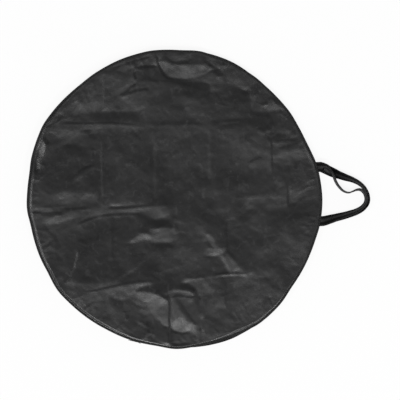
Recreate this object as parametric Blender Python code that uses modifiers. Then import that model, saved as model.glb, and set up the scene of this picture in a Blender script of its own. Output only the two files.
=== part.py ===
"""Round zipped carrying bag for one bicycle wheel, lying flat and empty on its back panel.

Metres, +Z up.  The origin is the centre of the round bag on the surface it lies on.
The carrying handles point along +X, turned a little towards +Y.
"""
import math

import bmesh
import bpy
from mathutils import Vector

# Overall size
bag_diameter = 0.745             # over the bound seams
bag_height = 0.030               # between the two panels' outer faces, bag empty

# Cloth, binding tape and seams
cloth_thickness = 0.0006
binding_thickness = 0.0005
binding_width = 0.005            # how far the folded binding covers the seam
seam_clearance = 0.0003          # between layers that are sewn together
dish_run = 0.0055                # length over which a panel slopes into its seam
ring_segments = 96               # facets in a full turn of every ring

# Zipper
zip_end_angle = math.radians(105)    # each side of +X, where the chain meets the gusset
fold_angle = math.radians(99)        # each side of +X, where the open front panel folds
tape_thickness = 0.0006
coil_width = 0.003               # one half of the chain, across the chain
coil_height = 0.0022             # how far the chain stands off its tape
chain_gap = 0.0016               # between the two halves, for the slider's post
end_tab_length = 0.017
end_tab_width = 0.014
end_tab_overlap = 0.004          # how far an end tab covers the chain's end
end_tab_step = 0.0025            # run over which it steps down to the gusset

# Slider and pull tab
slider_length = 0.011
slider_plate = 0.0010
slider_clearance = 0.0004
slider_wall = 0.0009
slider_stop_gap = 0.0010         # slider to end tab when the bag is closed
bridge_length = 0.0064
bridge_width = 0.0020
bridge_rise = 0.0026
bridge_thickness = 0.0008
tab_length = 0.030
tab_width = 0.0070
tab_eye_width = 0.0056
tab_eye_length = 0.0042
tab_thickness = 0.0010
tab_side_thickness = 0.0010

# Carrying handles, both of the same webbing
handle_direction = math.radians(2)   # of the handles' middle, from +X
webbing_width = 0.025
webbing_thickness = 0.0015
webbing_seat = 0.018             # webbing sewn in behind the hinge line, before it is cut to the seam
handle_spacing = 0.1368          # between the middles of a handle's two ends
handle_reach = 0.1202            # from the hinge line to the furthest middle of the webbing
handle_hinge_offset = 0.0027     # hinge line beyond the binding, at the ends' inner edges
handle_floor_clearance = 0.0007  # lowest edge of a handle above the surface
handle_steps = 3                 # facets between two points of a handle's route

# Route of each handle from its end at +Y to its end at -Y: the place along the reach,
# the place across the spacing, the lift as a part of the bag's height above lying on
# the surface, and the turn of the webbing from flat (0) to standing on its edge (1)
back_route_shares = (
    (0.276, 0.392, 0.00, 0.08),
    (0.508, 0.308, 0.00, 0.22),
    (0.702, 0.238, 0.00, 0.42),
    (0.862, 0.143, 0.00, 0.60),
    (0.955, 0.040, 0.00, 0.68),
    (1.000, -0.080, 0.00, 0.70),
    (0.990, -0.180, 0.00, 0.68),
    (0.926, -0.262, 0.00, 0.60),
    (0.815, -0.335, 0.00, 0.46),
    (0.575, -0.405, 0.00, 0.22),
    (0.302, -0.460, 0.00, 0.06),
)
front_route_shares = (
    (0.105, 0.518, 0.45, 0.40),
    (0.200, 0.500, 0.15, 0.80),
    (0.258, 0.415, 0.13, 0.92),
    (0.314, 0.300, 0.12, 0.94),
    (0.372, 0.187, 0.10, 0.94),
    (0.448, 0.104, 0.07, 0.94),
    (0.525, 0.042, 0.06, 0.92),
    (0.632, 0.012, 0.05, 0.88),
    (0.740, 0.034, 0.05, 0.82),
    (0.835, 0.060, 0.05, 0.74),
    (0.905, 0.030, 0.05, 0.70),
    (0.944, -0.040, 0.05, 0.70),
    (0.946, -0.150, 0.06, 0.68),
    (0.880, -0.235, 0.07, 0.60),
    (0.776, -0.302, 0.09, 0.46),
    (0.560, -0.372, 0.14, 0.24),
    (0.300, -0.435, 0.34, 0.08),
)

# Cutting blocks
cut_overrun = 0.020

# Sizes that follow from the ones above
flange_thickness = max(cloth_thickness, tape_thickness)
seam_height = (2 * binding_thickness + cloth_thickness + flange_thickness
               + 3 * seam_clearance)
rim_radius = bag_diameter / 2
edge_radius = rim_radius - binding_thickness - seam_clearance
leg_radius = rim_radius - binding_width
wall_outer_radius = leg_radius - seam_clearance
panel_rim_lift = binding_thickness + seam_clearance
flange_lift = panel_rim_lift + cloth_thickness + seam_clearance
mid_height = bag_height / 2
fold_x = rim_radius * math.cos(fold_angle)
coil_inner_radius = wall_outer_radius + seam_clearance
coil_outer_radius = coil_inner_radius + coil_height
tab_start_angle = zip_end_angle - end_tab_overlap / wall_outer_radius
slider_rest_angle = (tab_start_angle
                     - (slider_length / 2 + slider_stop_gap) / coil_outer_radius)
handle_inner_edge = (handle_spacing - webbing_width) / 2
handle_hinge_x = math.sqrt(rim_radius ** 2 - handle_inner_edge ** 2) + handle_hinge_offset
back_hinge_height = seam_height + seam_clearance
front_hinge_height = bag_height - back_hinge_height


for leftover in list(bpy.data.objects):
    bpy.data.objects.remove(leftover, do_unlink=True)

parts = bpy.data.collections.new("wheel_bag")
cutters = bpy.data.collections.new("cutters")
for collection in (parts, cutters):
    bpy.context.scene.collection.children.link(collection)


def make_material(name, colour, roughness, metallic=0.0):
    material = bpy.data.materials.new(name)
    material.use_nodes = True
    shader = material.node_tree.nodes["Principled BSDF"]
    shader.inputs["Base Color"].default_value = (*colour, 1.0)
    shader.inputs["Roughness"].default_value = roughness
    shader.inputs["Metallic"].default_value = metallic
    material.diffuse_color = (*colour, 1.0)
    return material


def add_part(name, data, material):
    part = bpy.data.objects.new(name, data)
    data.materials.append(material)
    parts.objects.link(part)
    return part


def add_pivot(name, location, turn=0.0):
    pivot = bpy.data.objects.new(name, None)
    pivot.location = location
    pivot.rotation_euler.z = turn
    parts.objects.link(pivot)
    return pivot


def carry(child, parent):
    """Hang a piece on a pivot without moving it."""
    bpy.context.view_layer.update()
    child.parent = parent
    child.matrix_parent_inverse = parent.matrix_world.inverted()


def turned_sheet(name, profile, thickness, material, start=0.0, end=math.tau):
    """Sheet of even thickness, turned about Z from its middle line in (radius, height)."""
    mesh = bpy.data.meshes.new(name)
    edges = [(i, i + 1) for i in range(len(profile) - 1)]
    mesh.from_pydata([(r, 0.0, z) for r, z in profile], edges, [])
    sheet = add_part(name, mesh, material)
    sheet.rotation_euler.z = start
    screw = sheet.modifiers.new("Turn", "SCREW")
    screw.axis = "Z"
    screw.angle = end - start
    screw.steps = max(1, round((end - start) / math.tau * ring_segments))
    screw.render_steps = screw.steps
    screw.use_merge_vertices = True
    screw.merge_threshold = seam_clearance / 30
    solid = sheet.modifiers.new("Thickness", "SOLIDIFY")
    solid.thickness = thickness
    solid.offset = 0.0
    solid.use_even_offset = True
    return sheet


def flip(profile):
    """The same profile for the front of the bag."""
    return [(r, bag_height - z) for r, z in reversed(profile)]


def add_block(name, low, high, collection, material=None):
    bm = bmesh.new()
    bmesh.ops.create_cube(bm, size=1.0)
    size = Vector(high) - Vector(low)
    bmesh.ops.scale(bm, vec=size, verts=bm.verts)
    bmesh.ops.translate(bm, vec=(Vector(low) + Vector(high)) / 2, verts=bm.verts)
    mesh = bpy.data.meshes.new(name)
    bm.to_mesh(mesh)
    bm.free()
    block = bpy.data.objects.new(name, mesh)
    collection.objects.link(block)
    if material:
        mesh.materials.append(material)
    return block


def hide_cutter(cutter):
    cutter.hide_render = True
    cutter.display_type = "WIRE"
    return cutter


def cut(part, cutter, operation):
    boolean = part.modifiers.new("Cut", "BOOLEAN")
    boolean.operation = operation
    boolean.object = cutter
    boolean.solver = "EXACT"


def outline_curve(name, loops, half_depth, material):
    """Flat plate from closed outlines; the second loop, where there is one, is a hole."""
    curve = bpy.data.curves.new(name, "CURVE")
    curve.dimensions = "2D"
    curve.fill_mode = "BOTH"
    curve.extrude = half_depth
    for loop in loops:
        spline = curve.splines.new("POLY")
        spline.points.add(len(loop) - 1)
        for point, (x, y) in zip(spline.points, loop):
            point.co = (x, y, 0.0, 1.0)
        spline.use_cyclic_u = True
    return add_part(name, curve, material)


# Profiles, as middle lines in (radius, height)
panel_profile = [
    (0.0, cloth_thickness / 2),
    (leg_radius - dish_run - seam_clearance, cloth_thickness / 2),
    (leg_radius - seam_clearance, panel_rim_lift + cloth_thickness / 2),
    (edge_radius, panel_rim_lift + cloth_thickness / 2),
]
binding_profile = [
    (leg_radius, binding_thickness / 2),
    (rim_radius - binding_thickness / 2, binding_thickness / 2),
    (rim_radius - binding_thickness / 2, seam_height - binding_thickness / 2),
    (leg_radius, seam_height - binding_thickness / 2),
]


def wall_profile(thickness, top):
    """Turned-out seam allowance at the back panel, then the wall up to a height."""
    return [
        (edge_radius, flange_lift + thickness / 2),
        (wall_outer_radius - thickness / 2, flange_lift + thickness / 2),
        (wall_outer_radius - thickness / 2, top),
    ]


tape_profile = wall_profile(tape_thickness, mid_height - chain_gap / 2)
gusset_profile = (wall_profile(cloth_thickness, mid_height)[:2]
                  + flip(wall_profile(cloth_thickness, mid_height))[1:])
coil_profile = [
    (coil_inner_radius + coil_height / 2, mid_height - chain_gap / 2 - coil_width),
    (coil_inner_radius + coil_height / 2, mid_height - chain_gap / 2),
]

panel_cloth = make_material("coated_nylon", (0.033, 0.033, 0.034), 0.42)
side_cloth = make_material("gusset_nylon", (0.028, 0.028, 0.029), 0.48)
binding_tape = make_material("binding_tape", (0.012, 0.012, 0.012), 0.75)
zip_tape = make_material("zipper_tape", (0.010, 0.010, 0.011), 0.80)
coil_nylon = make_material("zipper_coil", (0.016, 0.016, 0.017), 0.35)
slider_metal = make_material("slider_metal", (0.045, 0.045, 0.048), 0.30, 0.9)
webbing = make_material("webbing", (0.014, 0.014, 0.014), 0.70)

# Pivots of everything that moves
flap_pivot = add_pivot("front_panel_fold", (fold_x, 0.0, bag_height))
slider_pivot = add_pivot("slider_path_centre", (0.0, 0.0, mid_height))
back_pivot = add_pivot(
    "back_handle_hinge",
    (handle_hinge_x * math.cos(handle_direction), handle_hinge_x * math.sin(handle_direction),
     back_hinge_height),
    handle_direction)
front_pivot = add_pivot(
    "front_handle_hinge",
    (handle_hinge_x * math.cos(handle_direction), handle_hinge_x * math.sin(handle_direction),
     front_hinge_height),
    handle_direction)

# Blocks on either side of the fold line
reach = rim_radius + cut_overrun
front_side = hide_cutter(add_block(
    "front_of_fold", (fold_x + seam_clearance / 2, -reach, -cut_overrun),
    (reach, reach, bag_height + cut_overrun), cutters))
behind_side = hide_cutter(add_block(
    "behind_fold", (-reach, -reach, -cut_overrun),
    (fold_x - seam_clearance / 2, reach, bag_height + cut_overrun), cutters))


def build_panels():
    turned_sheet("back_panel", panel_profile, cloth_thickness, panel_cloth)
    flap = turned_sheet("front_panel_flap", flip(panel_profile), cloth_thickness, panel_cloth)
    cut(flap, front_side, "INTERSECT")
    carry(flap, flap_pivot)
    fixed = turned_sheet("front_panel_fixed", flip(panel_profile), cloth_thickness, panel_cloth)
    cut(fixed, behind_side, "INTERSECT")


def build_bindings():
    turned_sheet("back_binding", binding_profile, binding_thickness, binding_tape)
    flap = turned_sheet("front_binding_flap", flip(binding_profile), binding_thickness,
                        binding_tape)
    cut(flap, front_side, "INTERSECT")
    carry(flap, flap_pivot)
    fixed = turned_sheet("front_binding_fixed", flip(binding_profile), binding_thickness,
                         binding_tape)
    cut(fixed, behind_side, "INTERSECT")


def build_gusset():
    gap = seam_clearance / wall_outer_radius
    turned_sheet("gusset", gusset_profile, cloth_thickness, side_cloth,
                 zip_end_angle + gap, math.tau - zip_end_angle - gap)


def build_zipper_half(label, profile, thickness, material, end):
    """Back half in one length, front half cut at the fold into a long and two end lengths."""
    turned_sheet(label + "_back", profile, thickness, material, -end, end)
    moving = turned_sheet(label + "_front", flip(profile), thickness, material, -end, end)
    cut(moving, front_side, "INTERSECT")
    carry(moving, flap_pivot)
    step = math.tau / ring_segments
    length = (math.ceil((end - fold_angle) / step) + 1) * step
    for side, start, stop in (("start", -end, length - end), ("finish", end - length, end)):
        stub = turned_sheet(label + "_front_" + side, flip(profile), thickness, material,
                            start, stop)
        cut(stub, behind_side, "INTERSECT")


def build_zip_end_tabs():
    """Cloth patch over each end of the chain, stepping down to the gusset beyond it."""
    middle = seam_clearance + cloth_thickness / 2
    route = [
        (0.0, coil_outer_radius + middle),
        (end_tab_overlap + end_tab_step / 2, coil_outer_radius + middle),
        (end_tab_overlap + 2 * end_tab_step, wall_outer_radius + middle),
        (end_tab_length, wall_outer_radius + middle),
    ]
    for side, sign in (("start", -1), ("finish", 1)):
        name = "zip_end_tab_" + side
        bm = bmesh.new()
        row = []
        for run, radius in route:
            angle = sign * (tab_start_angle + run / wall_outer_radius)
            row.append(bm.verts.new((radius * math.cos(angle), radius * math.sin(angle),
                                     mid_height - end_tab_width / 2)))
        edges = [bm.edges.new(pair) for pair in zip(row, row[1:])]
        grown = bmesh.ops.extrude_edge_only(bm, edges=edges)["geom"]
        bmesh.ops.translate(bm, vec=(0.0, 0.0, end_tab_width),
                            verts=[item for item in grown if isinstance(item, bmesh.types.BMVert)])
        mesh = bpy.data.meshes.new(name)
        bm.to_mesh(mesh)
        bm.free()
        tab = add_part(name, mesh, side_cloth)
        solid = tab.modifiers.new("Thickness", "SOLIDIFY")
        solid.thickness = cloth_thickness
        solid.offset = 0.0
        solid.use_even_offset = True


def build_slider():
    inner_face = wall_outer_radius - tape_thickness - slider_clearance
    plate_face = coil_outer_radius + slider_clearance
    plate_top = plate_face + slider_plate
    skirt_foot = wall_outer_radius + slider_clearance
    post = chain_gap / 2 - seam_clearance
    skirt_inner = chain_gap / 2 + coil_width + slider_clearance
    skirt_outer = skirt_inner + slider_wall
    half = [
        (inner_face - slider_plate, skirt_inner),
        (inner_face, skirt_inner),
        (inner_face, post),
        (plate_face, post),
        (plate_face, skirt_inner),
        (skirt_foot, skirt_inner),
        (skirt_foot, skirt_outer),
        (plate_top, skirt_outer),
    ]
    section = [(r - plate_top, h) for r, h in half]
    section += [(x, -h) for x, h in reversed(section)]
    seat = add_pivot("slider_seat",
                     (plate_top * math.cos(slider_rest_angle),
                      -plate_top * math.sin(slider_rest_angle), mid_height),
                     -slider_rest_angle)
    carry(seat, slider_pivot)
    body = outline_curve("slider_body", [section], slider_length / 2, slider_metal)
    body.parent = seat
    body.rotation_euler.x = math.pi / 2

    foot = bridge_length / 2
    inner = foot - bridge_thickness
    shoulder = bridge_thickness
    arch = [
        (seam_clearance, -foot),
        (bridge_rise - shoulder, -foot),
        (bridge_rise, -foot + shoulder),
        (bridge_rise, foot - shoulder),
        (bridge_rise - shoulder, foot),
        (seam_clearance, foot),
        (seam_clearance, inner),
        (bridge_rise - bridge_thickness, inner),
        (bridge_rise - bridge_thickness, -inner),
        (seam_clearance, -inner),
    ]
    bridge = outline_curve("slider_bridge", [arch], bridge_width / 2, slider_metal)
    bridge.parent = seat

    pin = (bridge_rise - bridge_thickness) / 2
    bar = tab_side_thickness / 2
    eye = tab_eye_width / 2
    neck = bar + tab_eye_length
    width = tab_width / 2
    outline = [
        (-bar, -eye), (neck, -eye), (neck + bar, -width), (tab_length - width, -width),
        (tab_length - bar, -width / 2), (tab_length - bar, width / 2),
        (tab_length - width, width), (neck + bar, width), (neck, eye), (-bar, eye),
    ]
    slot = eye - tab_side_thickness
    hole = [(bar, -slot), (bar, slot), (neck, slot), (neck, -slot)]
    pull = outline_curve("pull_tab", [outline, hole], tab_thickness / 2, slider_metal)
    pull.parent = seat
    pull.location.x = pin
    pull.rotation_euler = (math.pi / 2, 0.0, -math.pi / 2)


def webbing_section():
    curve = bpy.data.curves.new("webbing_section", "CURVE")
    curve.dimensions = "2D"
    spline = curve.splines.new("POLY")
    spline.points.add(3)
    corners = ((-1, 1), (1, 1), (1, -1), (-1, -1))
    for point, (x, y) in zip(spline.points, corners):
        point.co = (x * webbing_width / 2, y * webbing_thickness / 2, 0.0, 1.0)
    spline.use_cyclic_u = True
    section = bpy.data.objects.new("webbing_section", curve)
    cutters.objects.link(section)
    return hide_cutter(section)


def build_handle(name, pivot, root_height, route_shares, section):
    """Loop of webbing between two sewn ends, as a strap that turns on its way round."""
    curve = bpy.data.curves.new(name, "CURVE")
    curve.dimensions = "3D"
    curve.twist_mode = "Z_UP"
    curve.resolution_u = handle_steps
    curve.bevel_mode = "OBJECT"
    curve.bevel_object = section
    curve.use_fill_caps = True
    start = seam_clearance / 2
    stations = [(Vector((start, handle_spacing / 2, root_height)), 0.0)]
    for along, across, lift, turn in route_shares:
        tilt = turn * math.pi / 2
        lying = (webbing_width / 2 * math.sin(tilt) + webbing_thickness / 2 * math.cos(tilt)
                 + handle_floor_clearance)
        height = lying + lift * bag_height
        stations.append((Vector((along * handle_reach, across * handle_spacing, height)), tilt))
    stations.append((Vector((start, -handle_spacing / 2, root_height)), 0.0))
    spline = curve.splines.new("BEZIER")
    spline.bezier_points.add(len(stations) - 1)
    for point, (place, tilt) in zip(spline.bezier_points, stations):
        point.co = place - Vector((0.0, 0.0, pivot.location.z))
        point.tilt = tilt
        point.handle_left_type = "AUTO"
        point.handle_right_type = "AUTO"
    lead = Vector((webbing_width / 4, 0.0, 0.0))
    for point in (spline.bezier_points[0], spline.bezier_points[-1]):
        point.handle_left_type = "FREE"
        point.handle_right_type = "FREE"
        point.handle_left = point.co + lead
        point.handle_right = point.co + lead
    spline.bezier_points[0].handle_left = spline.bezier_points[0].co - lead
    spline.bezier_points[-1].handle_right = spline.bezier_points[-1].co - lead
    strap = add_part(name, curve, webbing)
    strap.parent = pivot
    return strap


def build_handle_ends(label, pivot, low, carrier):
    """Flat ends of the webbing, sewn in under the binding and cut to the curve of the seam."""
    bm = bmesh.new()
    bmesh.ops.create_cone(bm, cap_ends=True, segments=ring_segments,
                          radius1=coil_inner_radius, radius2=coil_inner_radius,
                          depth=bag_height + cut_overrun)
    bmesh.ops.translate(bm, vec=(0.0, 0.0, mid_height), verts=bm.verts)
    mesh = bpy.data.meshes.new(label + "_seam_cut")
    bm.to_mesh(mesh)
    bm.free()
    seam_cut = bpy.data.objects.new(label + "_seam_cut", mesh)
    cutters.objects.link(seam_cut)
    hide_cutter(seam_cut)
    for side, sign in (("upper", 1), ("lower", -1)):
        across = sign * handle_spacing / 2
        end = add_block("{}_end_{}".format(label, side),
                        (handle_hinge_x - webbing_seat, across - webbing_width / 2, low),
                        (handle_hinge_x - seam_clearance / 2, across + webbing_width / 2,
                         low + webbing_thickness), parts, webbing)
        end.rotation_euler.z = handle_direction
        cut(end, seam_cut, "DIFFERENCE")
        if carrier:
            carry(end, carrier)


build_panels()
build_bindings()
build_gusset()
build_zipper_half("zipper_tape", tape_profile, tape_thickness, zip_tape,
                  zip_end_angle)
build_zipper_half("zipper_coil", coil_profile, coil_height, coil_nylon,
                  zip_end_angle)
build_zip_end_tabs()
build_slider()
strap_section = webbing_section()
root_half = webbing_thickness / 2
build_handle("back_handle", back_pivot, back_hinge_height + root_half, back_route_shares,
             strap_section)
build_handle("front_handle", front_pivot, front_hinge_height - root_half, front_route_shares,
             strap_section)
build_handle_ends("back_handle", back_pivot, back_hinge_height, None)
build_handle_ends("front_handle", front_pivot, front_hinge_height - webbing_thickness, flap_pivot)

for part in parts.objects:
    if part.type == "MESH":
        part.data.shade_smooth()
        part.data.set_sharp_from_angle(angle=math.radians(30))
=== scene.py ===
# Round zipped bag for one bicycle wheel, lying closed and empty on a white floor.
# Metres, +Z up, the origin under the middle of the bag. The handles point to +X.
import math

import bmesh
import bpy
import numpy as np
from mathutils import Matrix, Vector, noise


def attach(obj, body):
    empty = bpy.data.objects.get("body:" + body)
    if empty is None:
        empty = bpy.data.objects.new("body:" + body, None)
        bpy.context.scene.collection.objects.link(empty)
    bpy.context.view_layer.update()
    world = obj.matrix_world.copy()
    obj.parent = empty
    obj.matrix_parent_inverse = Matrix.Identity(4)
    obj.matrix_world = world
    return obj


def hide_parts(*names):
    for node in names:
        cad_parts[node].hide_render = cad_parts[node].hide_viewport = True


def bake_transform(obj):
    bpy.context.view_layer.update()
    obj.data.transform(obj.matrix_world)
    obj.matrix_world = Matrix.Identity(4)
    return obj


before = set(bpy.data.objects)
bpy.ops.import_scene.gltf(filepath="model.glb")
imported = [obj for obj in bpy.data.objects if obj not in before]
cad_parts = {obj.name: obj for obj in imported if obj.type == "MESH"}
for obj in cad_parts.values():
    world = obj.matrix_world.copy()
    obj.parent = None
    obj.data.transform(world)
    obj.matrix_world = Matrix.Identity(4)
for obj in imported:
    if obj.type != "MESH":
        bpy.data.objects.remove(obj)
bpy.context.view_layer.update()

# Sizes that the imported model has, as part.py gives them
bag = {
    "diameter": 0.745, "height": 0.030, "clothThickness": 0.0006,
    "bindingWidth": 0.005, "bindingThickness": 0.0005, "seamGap": 0.0003,
    "tapeThickness": 0.0006, "chainGap": 0.0016, "coilWidth": 0.003, "coilHeight": 0.0022,
    "zipEnd": 105.0, "foldX": -0.058272,
}
rimRadius = bag["diameter"] / 2
edgeRadius = rimRadius - bag["bindingThickness"] - bag["seamGap"]
legRadius = rimRadius - bag["bindingWidth"]
wallRadius = legRadius - bag["seamGap"]
middleHeight = bag["height"] / 2
seamHeight = 0.0031
flangeHeight = 0.0020     # middle of the turned-out seam allowance
rimClothHeight = 0.0011   # middle of a panel under its binding

# How the photograph sees the bag's upper side
photo = {"metresPerPixel": 0.0025144, "middle": (173.83, 199.16), "frameMiddle": (200.0, 200.0)}


def photoPlace(px, py):
    scale = photo["metresPerPixel"]
    return (px - photo["middle"][0]) * scale, (photo["middle"][1] - py) * scale


def smoothStep(low, high, value):
    t = np.clip((value - low) / (high - low), 0.0, 1.0)
    return t * t * (3.0 - 2.0 * t)


# Camera
view = {"height": 5.0, "fieldWidth": 1.0058, "sensor": 36.0, "farthest": 60.0}

cameraData = bpy.data.cameras.new("productCamera")
camera = bpy.data.objects.new("productCamera", cameraData)
bpy.context.scene.collection.objects.link(camera)
camera.location = (*photoPlace(*photo["frameMiddle"]), view["height"])
cameraData.sensor_width = view["sensor"]
cameraData.lens = view["sensor"] * (view["height"] - bag["height"]) / view["fieldWidth"]
cameraData.clip_end = view["farthest"]
cameraData.dof.use_dof = False
bpy.context.scene.camera = camera
bpy.context.scene.view_settings.view_transform = "Standard"
print("camera placed")


# Materials
def feed(tree, node, inputs):
    for key, value in inputs.items():
        if isinstance(value, bpy.types.NodeSocket):
            tree.links.new(value, node.inputs[key])
        else:
            node.inputs[key].default_value = value


def addNode(tree, kind, settings=None, inputs=None):
    node = tree.nodes.new(kind)
    for key, value in (settings or {}).items():
        setattr(node, key, value)
    feed(tree, node, inputs or {})
    return node


def mathNode(tree, operation, first, second=0.0):
    node = addNode(tree, "ShaderNodeMath", {"operation": operation}, {0: first, 1: second})
    return node.outputs[0]


def spread(tree, value, fromLow, fromHigh, toLow, toHigh):
    node = addNode(tree, "ShaderNodeMapRange", {"clamp": True},
                   {"Value": value, "From Min": fromLow, "From Max": fromHigh,
                    "To Min": toLow, "To Max": toHigh})
    return node.outputs["Result"]


def mixColours(tree, share, first, second, blend="MIX"):
    ends = [end if isinstance(end, bpy.types.NodeSocket) else (*end, 1.0)
            for end in (first, second)]
    return addNode(tree, "ShaderNodeMix", {"data_type": "RGBA", "blend_type": blend},
                   {0: share, 6: ends[0], 7: ends[1]}).outputs[2]


def bumpNode(tree, height, strength, depth, **under):
    inputs = {"Height": height, "Strength": strength, "Distance": depth, **under}
    return addNode(tree, "ShaderNodeBump", None, inputs).outputs[0]


# A node group that takes a vector and some amounts, and gives out values
def newGroup(name, amounts, results):
    tree = bpy.data.node_groups.new(name, "ShaderNodeTree")
    tree.interface.new_socket("Vector", in_out="INPUT", socket_type="NodeSocketVector")
    for label, value in amounts.items():
        socket = tree.interface.new_socket(label, in_out="INPUT", socket_type="NodeSocketFloat")
        socket.default_value = value
    for label in results:
        tree.interface.new_socket(label, in_out="OUTPUT", socket_type="NodeSocketFloat")
    return tree, addNode(tree, "NodeGroupInput"), addNode(tree, "NodeGroupOutput")


def useGroup(tree, group, inputs):
    return addNode(tree, "ShaderNodeGroup", {"node_tree": group}, inputs).outputs


def makePlainWeave():
    tree, given, result = newGroup("plainWeave", {"Threads per metre": 2000.0}, ("Height", "Gap"))
    turns = mathNode(tree, "MULTIPLY", given.outputs[1], math.pi)
    scaled = addNode(tree, "ShaderNodeVectorMath", {"operation": "SCALE"},
                     {"Vector": given.outputs[0], "Scale": turns})
    parts = addNode(tree, "ShaderNodeSeparateXYZ", None, {0: scaled.outputs[0]})
    warp = mathNode(tree, "SINE", parts.outputs[0])
    weft = mathNode(tree, "SINE", parts.outputs[1])
    crossing = mathNode(tree, "MULTIPLY", warp, weft)
    height = spread(tree, crossing, -1.0, 1.0, 0.0, 1.0)
    gap = spread(tree, mathNode(tree, "ABSOLUTE", crossing), 0.0, 0.25, 1.0, 0.0)
    feed(tree, result, {"Height": height, "Gap": gap})
    return tree


# Uneven tone and scuffs from use
def makeHandling():
    tree, given, result = newGroup("handlingMarks", {"Patch scale": 9.0, "Scuff scale": 60.0},
                                   ("Tone", "Scuff"))
    patches = addNode(tree, "ShaderNodeTexNoise", None,
                      {"Vector": given.outputs[0], "Scale": given.outputs[1], "Detail": 4.0,
                       "Roughness": 0.55, "Distortion": 0.3})
    streaks = addNode(tree, "ShaderNodeTexNoise", None,
                      {"Vector": given.outputs[0], "Scale": given.outputs[2], "Detail": 5.0,
                       "Roughness": 0.7, "Distortion": 0.8})
    tone = mathNode(tree, "ADD", spread(tree, patches.outputs[0], 0.3, 0.7, 0.0, 0.75),
                    spread(tree, streaks.outputs[0], 0.3, 0.7, 0.0, 0.25))
    scuff = spread(tree, streaks.outputs[0], 0.56, 0.74, 0.0, 1.0)
    feed(tree, result, {"Tone": tone, "Scuff": scuff})
    return tree


def makeCrumple():
    tree, given, result = newGroup("fineCrumple", {"Scale": 25.0}, ("Height",))
    folds = addNode(tree, "ShaderNodeTexNoise", {"noise_type": "RIDGED_MULTIFRACTAL"},
                    {"Vector": given.outputs[0], "Scale": given.outputs[1], "Detail": 3.0,
                     "Roughness": 0.45, "Distortion": 0.4})
    small = addNode(tree, "ShaderNodeTexVoronoi", {"feature": "DISTANCE_TO_EDGE"},
                    {"Vector": given.outputs[0],
                     "Scale": mathNode(tree, "MULTIPLY", given.outputs[1], 1.7)})
    edges = spread(tree, small.outputs["Distance"], 0.0, 0.5, 0.0, 0.4)
    feed(tree, result, {"Height": mathNode(tree, "ADD", folds.outputs[0], edges)})
    return tree


def makeRibs():
    tree, given, result = newGroup(
        "wovenRibs", {"Ribs per metre": 700.0, "Lines per metre": 900.0}, ("Height", "Shade"))
    parts = addNode(tree, "ShaderNodeSeparateXYZ", None, {0: given.outputs[0]})
    along = mathNode(tree, "MULTIPLY", parts.outputs[0],
                     mathNode(tree, "MULTIPLY", given.outputs[1], math.pi))
    across = mathNode(tree, "MULTIPLY", parts.outputs[1],
                      mathNode(tree, "MULTIPLY", given.outputs[2], math.pi))
    rib = mathNode(tree, "ABSOLUTE", mathNode(tree, "SINE", along))
    line = mathNode(tree, "ABSOLUTE", mathNode(tree, "SINE", across))
    height = mathNode(tree, "MULTIPLY", rib, spread(tree, line, 0.0, 1.0, 0.6, 1.0))
    fuzz = addNode(tree, "ShaderNodeTexNoise", None,
                   {"Vector": given.outputs[0], "Scale": 900.0, "Detail": 3.0, "Roughness": 0.7})
    shade = mathNode(tree, "MULTIPLY", spread(tree, height, 0.0, 0.8, 0.35, 1.0),
                     spread(tree, fuzz.outputs[0], 0.3, 0.7, 0.7, 1.15))
    feed(tree, result, {"Height": height, "Shade": shade})
    return tree


groups = {"weave": makePlainWeave(), "handling": makeHandling(), "crumple": makeCrumple(),
          "ribs": makeRibs()}


def newMaterial(name):
    material = bpy.data.materials.new(name)
    material.use_nodes = True
    tree = material.node_tree
    return material, tree, tree.nodes["Principled BSDF"]


# Coated cloth: woven ground under a thin, slightly glossy coat
def clothMaterial(name, look, coordinate):
    material, tree, shader = newMaterial(name)
    place = addNode(tree, "ShaderNodeTexCoord").outputs[coordinate]
    marks = useGroup(tree, groups["handling"],
                     {"Vector": place, "Patch scale": look["patchScale"],
                      "Scuff scale": look["scuffScale"]})
    weave = useGroup(tree, groups["weave"],
                     {"Vector": place, "Threads per metre": look["threads"]})
    crumple = useGroup(tree, groups["crumple"], {"Vector": place, "Scale": look["crumpleScale"]})
    ground = mixColours(tree, marks["Tone"], look["dark"], look["light"])
    gaps = mixColours(tree, mathNode(tree, "MULTIPLY", weave["Gap"], look["gapShade"]),
                      ground, look["gapColour"], "MULTIPLY")
    dusty = mixColours(tree, mathNode(tree, "MULTIPLY", marks["Scuff"], look["scuffShade"]),
                       gaps, look["scuffed"])
    rough = mathNode(tree, "ADD", spread(tree, marks["Tone"], 0.0, 1.0, *look["roughness"]),
                     mathNode(tree, "MULTIPLY", marks["Scuff"], look["scuffRoughness"]))
    folds = bumpNode(tree, crumple["Height"], look["crumpleStrength"], look["crumpleDepth"])
    threads = bumpNode(tree, weave["Height"], look["weaveStrength"], look["weaveDepth"],
                       Normal=folds)
    feed(tree, shader, {"Base Color": dusty, "Roughness": rough, "Normal": threads,
                        "Specular IOR Level": look["gloss"], "Sheen Weight": look["sheen"],
                        "Sheen Roughness": look["sheenRoughness"]})
    return material


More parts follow.
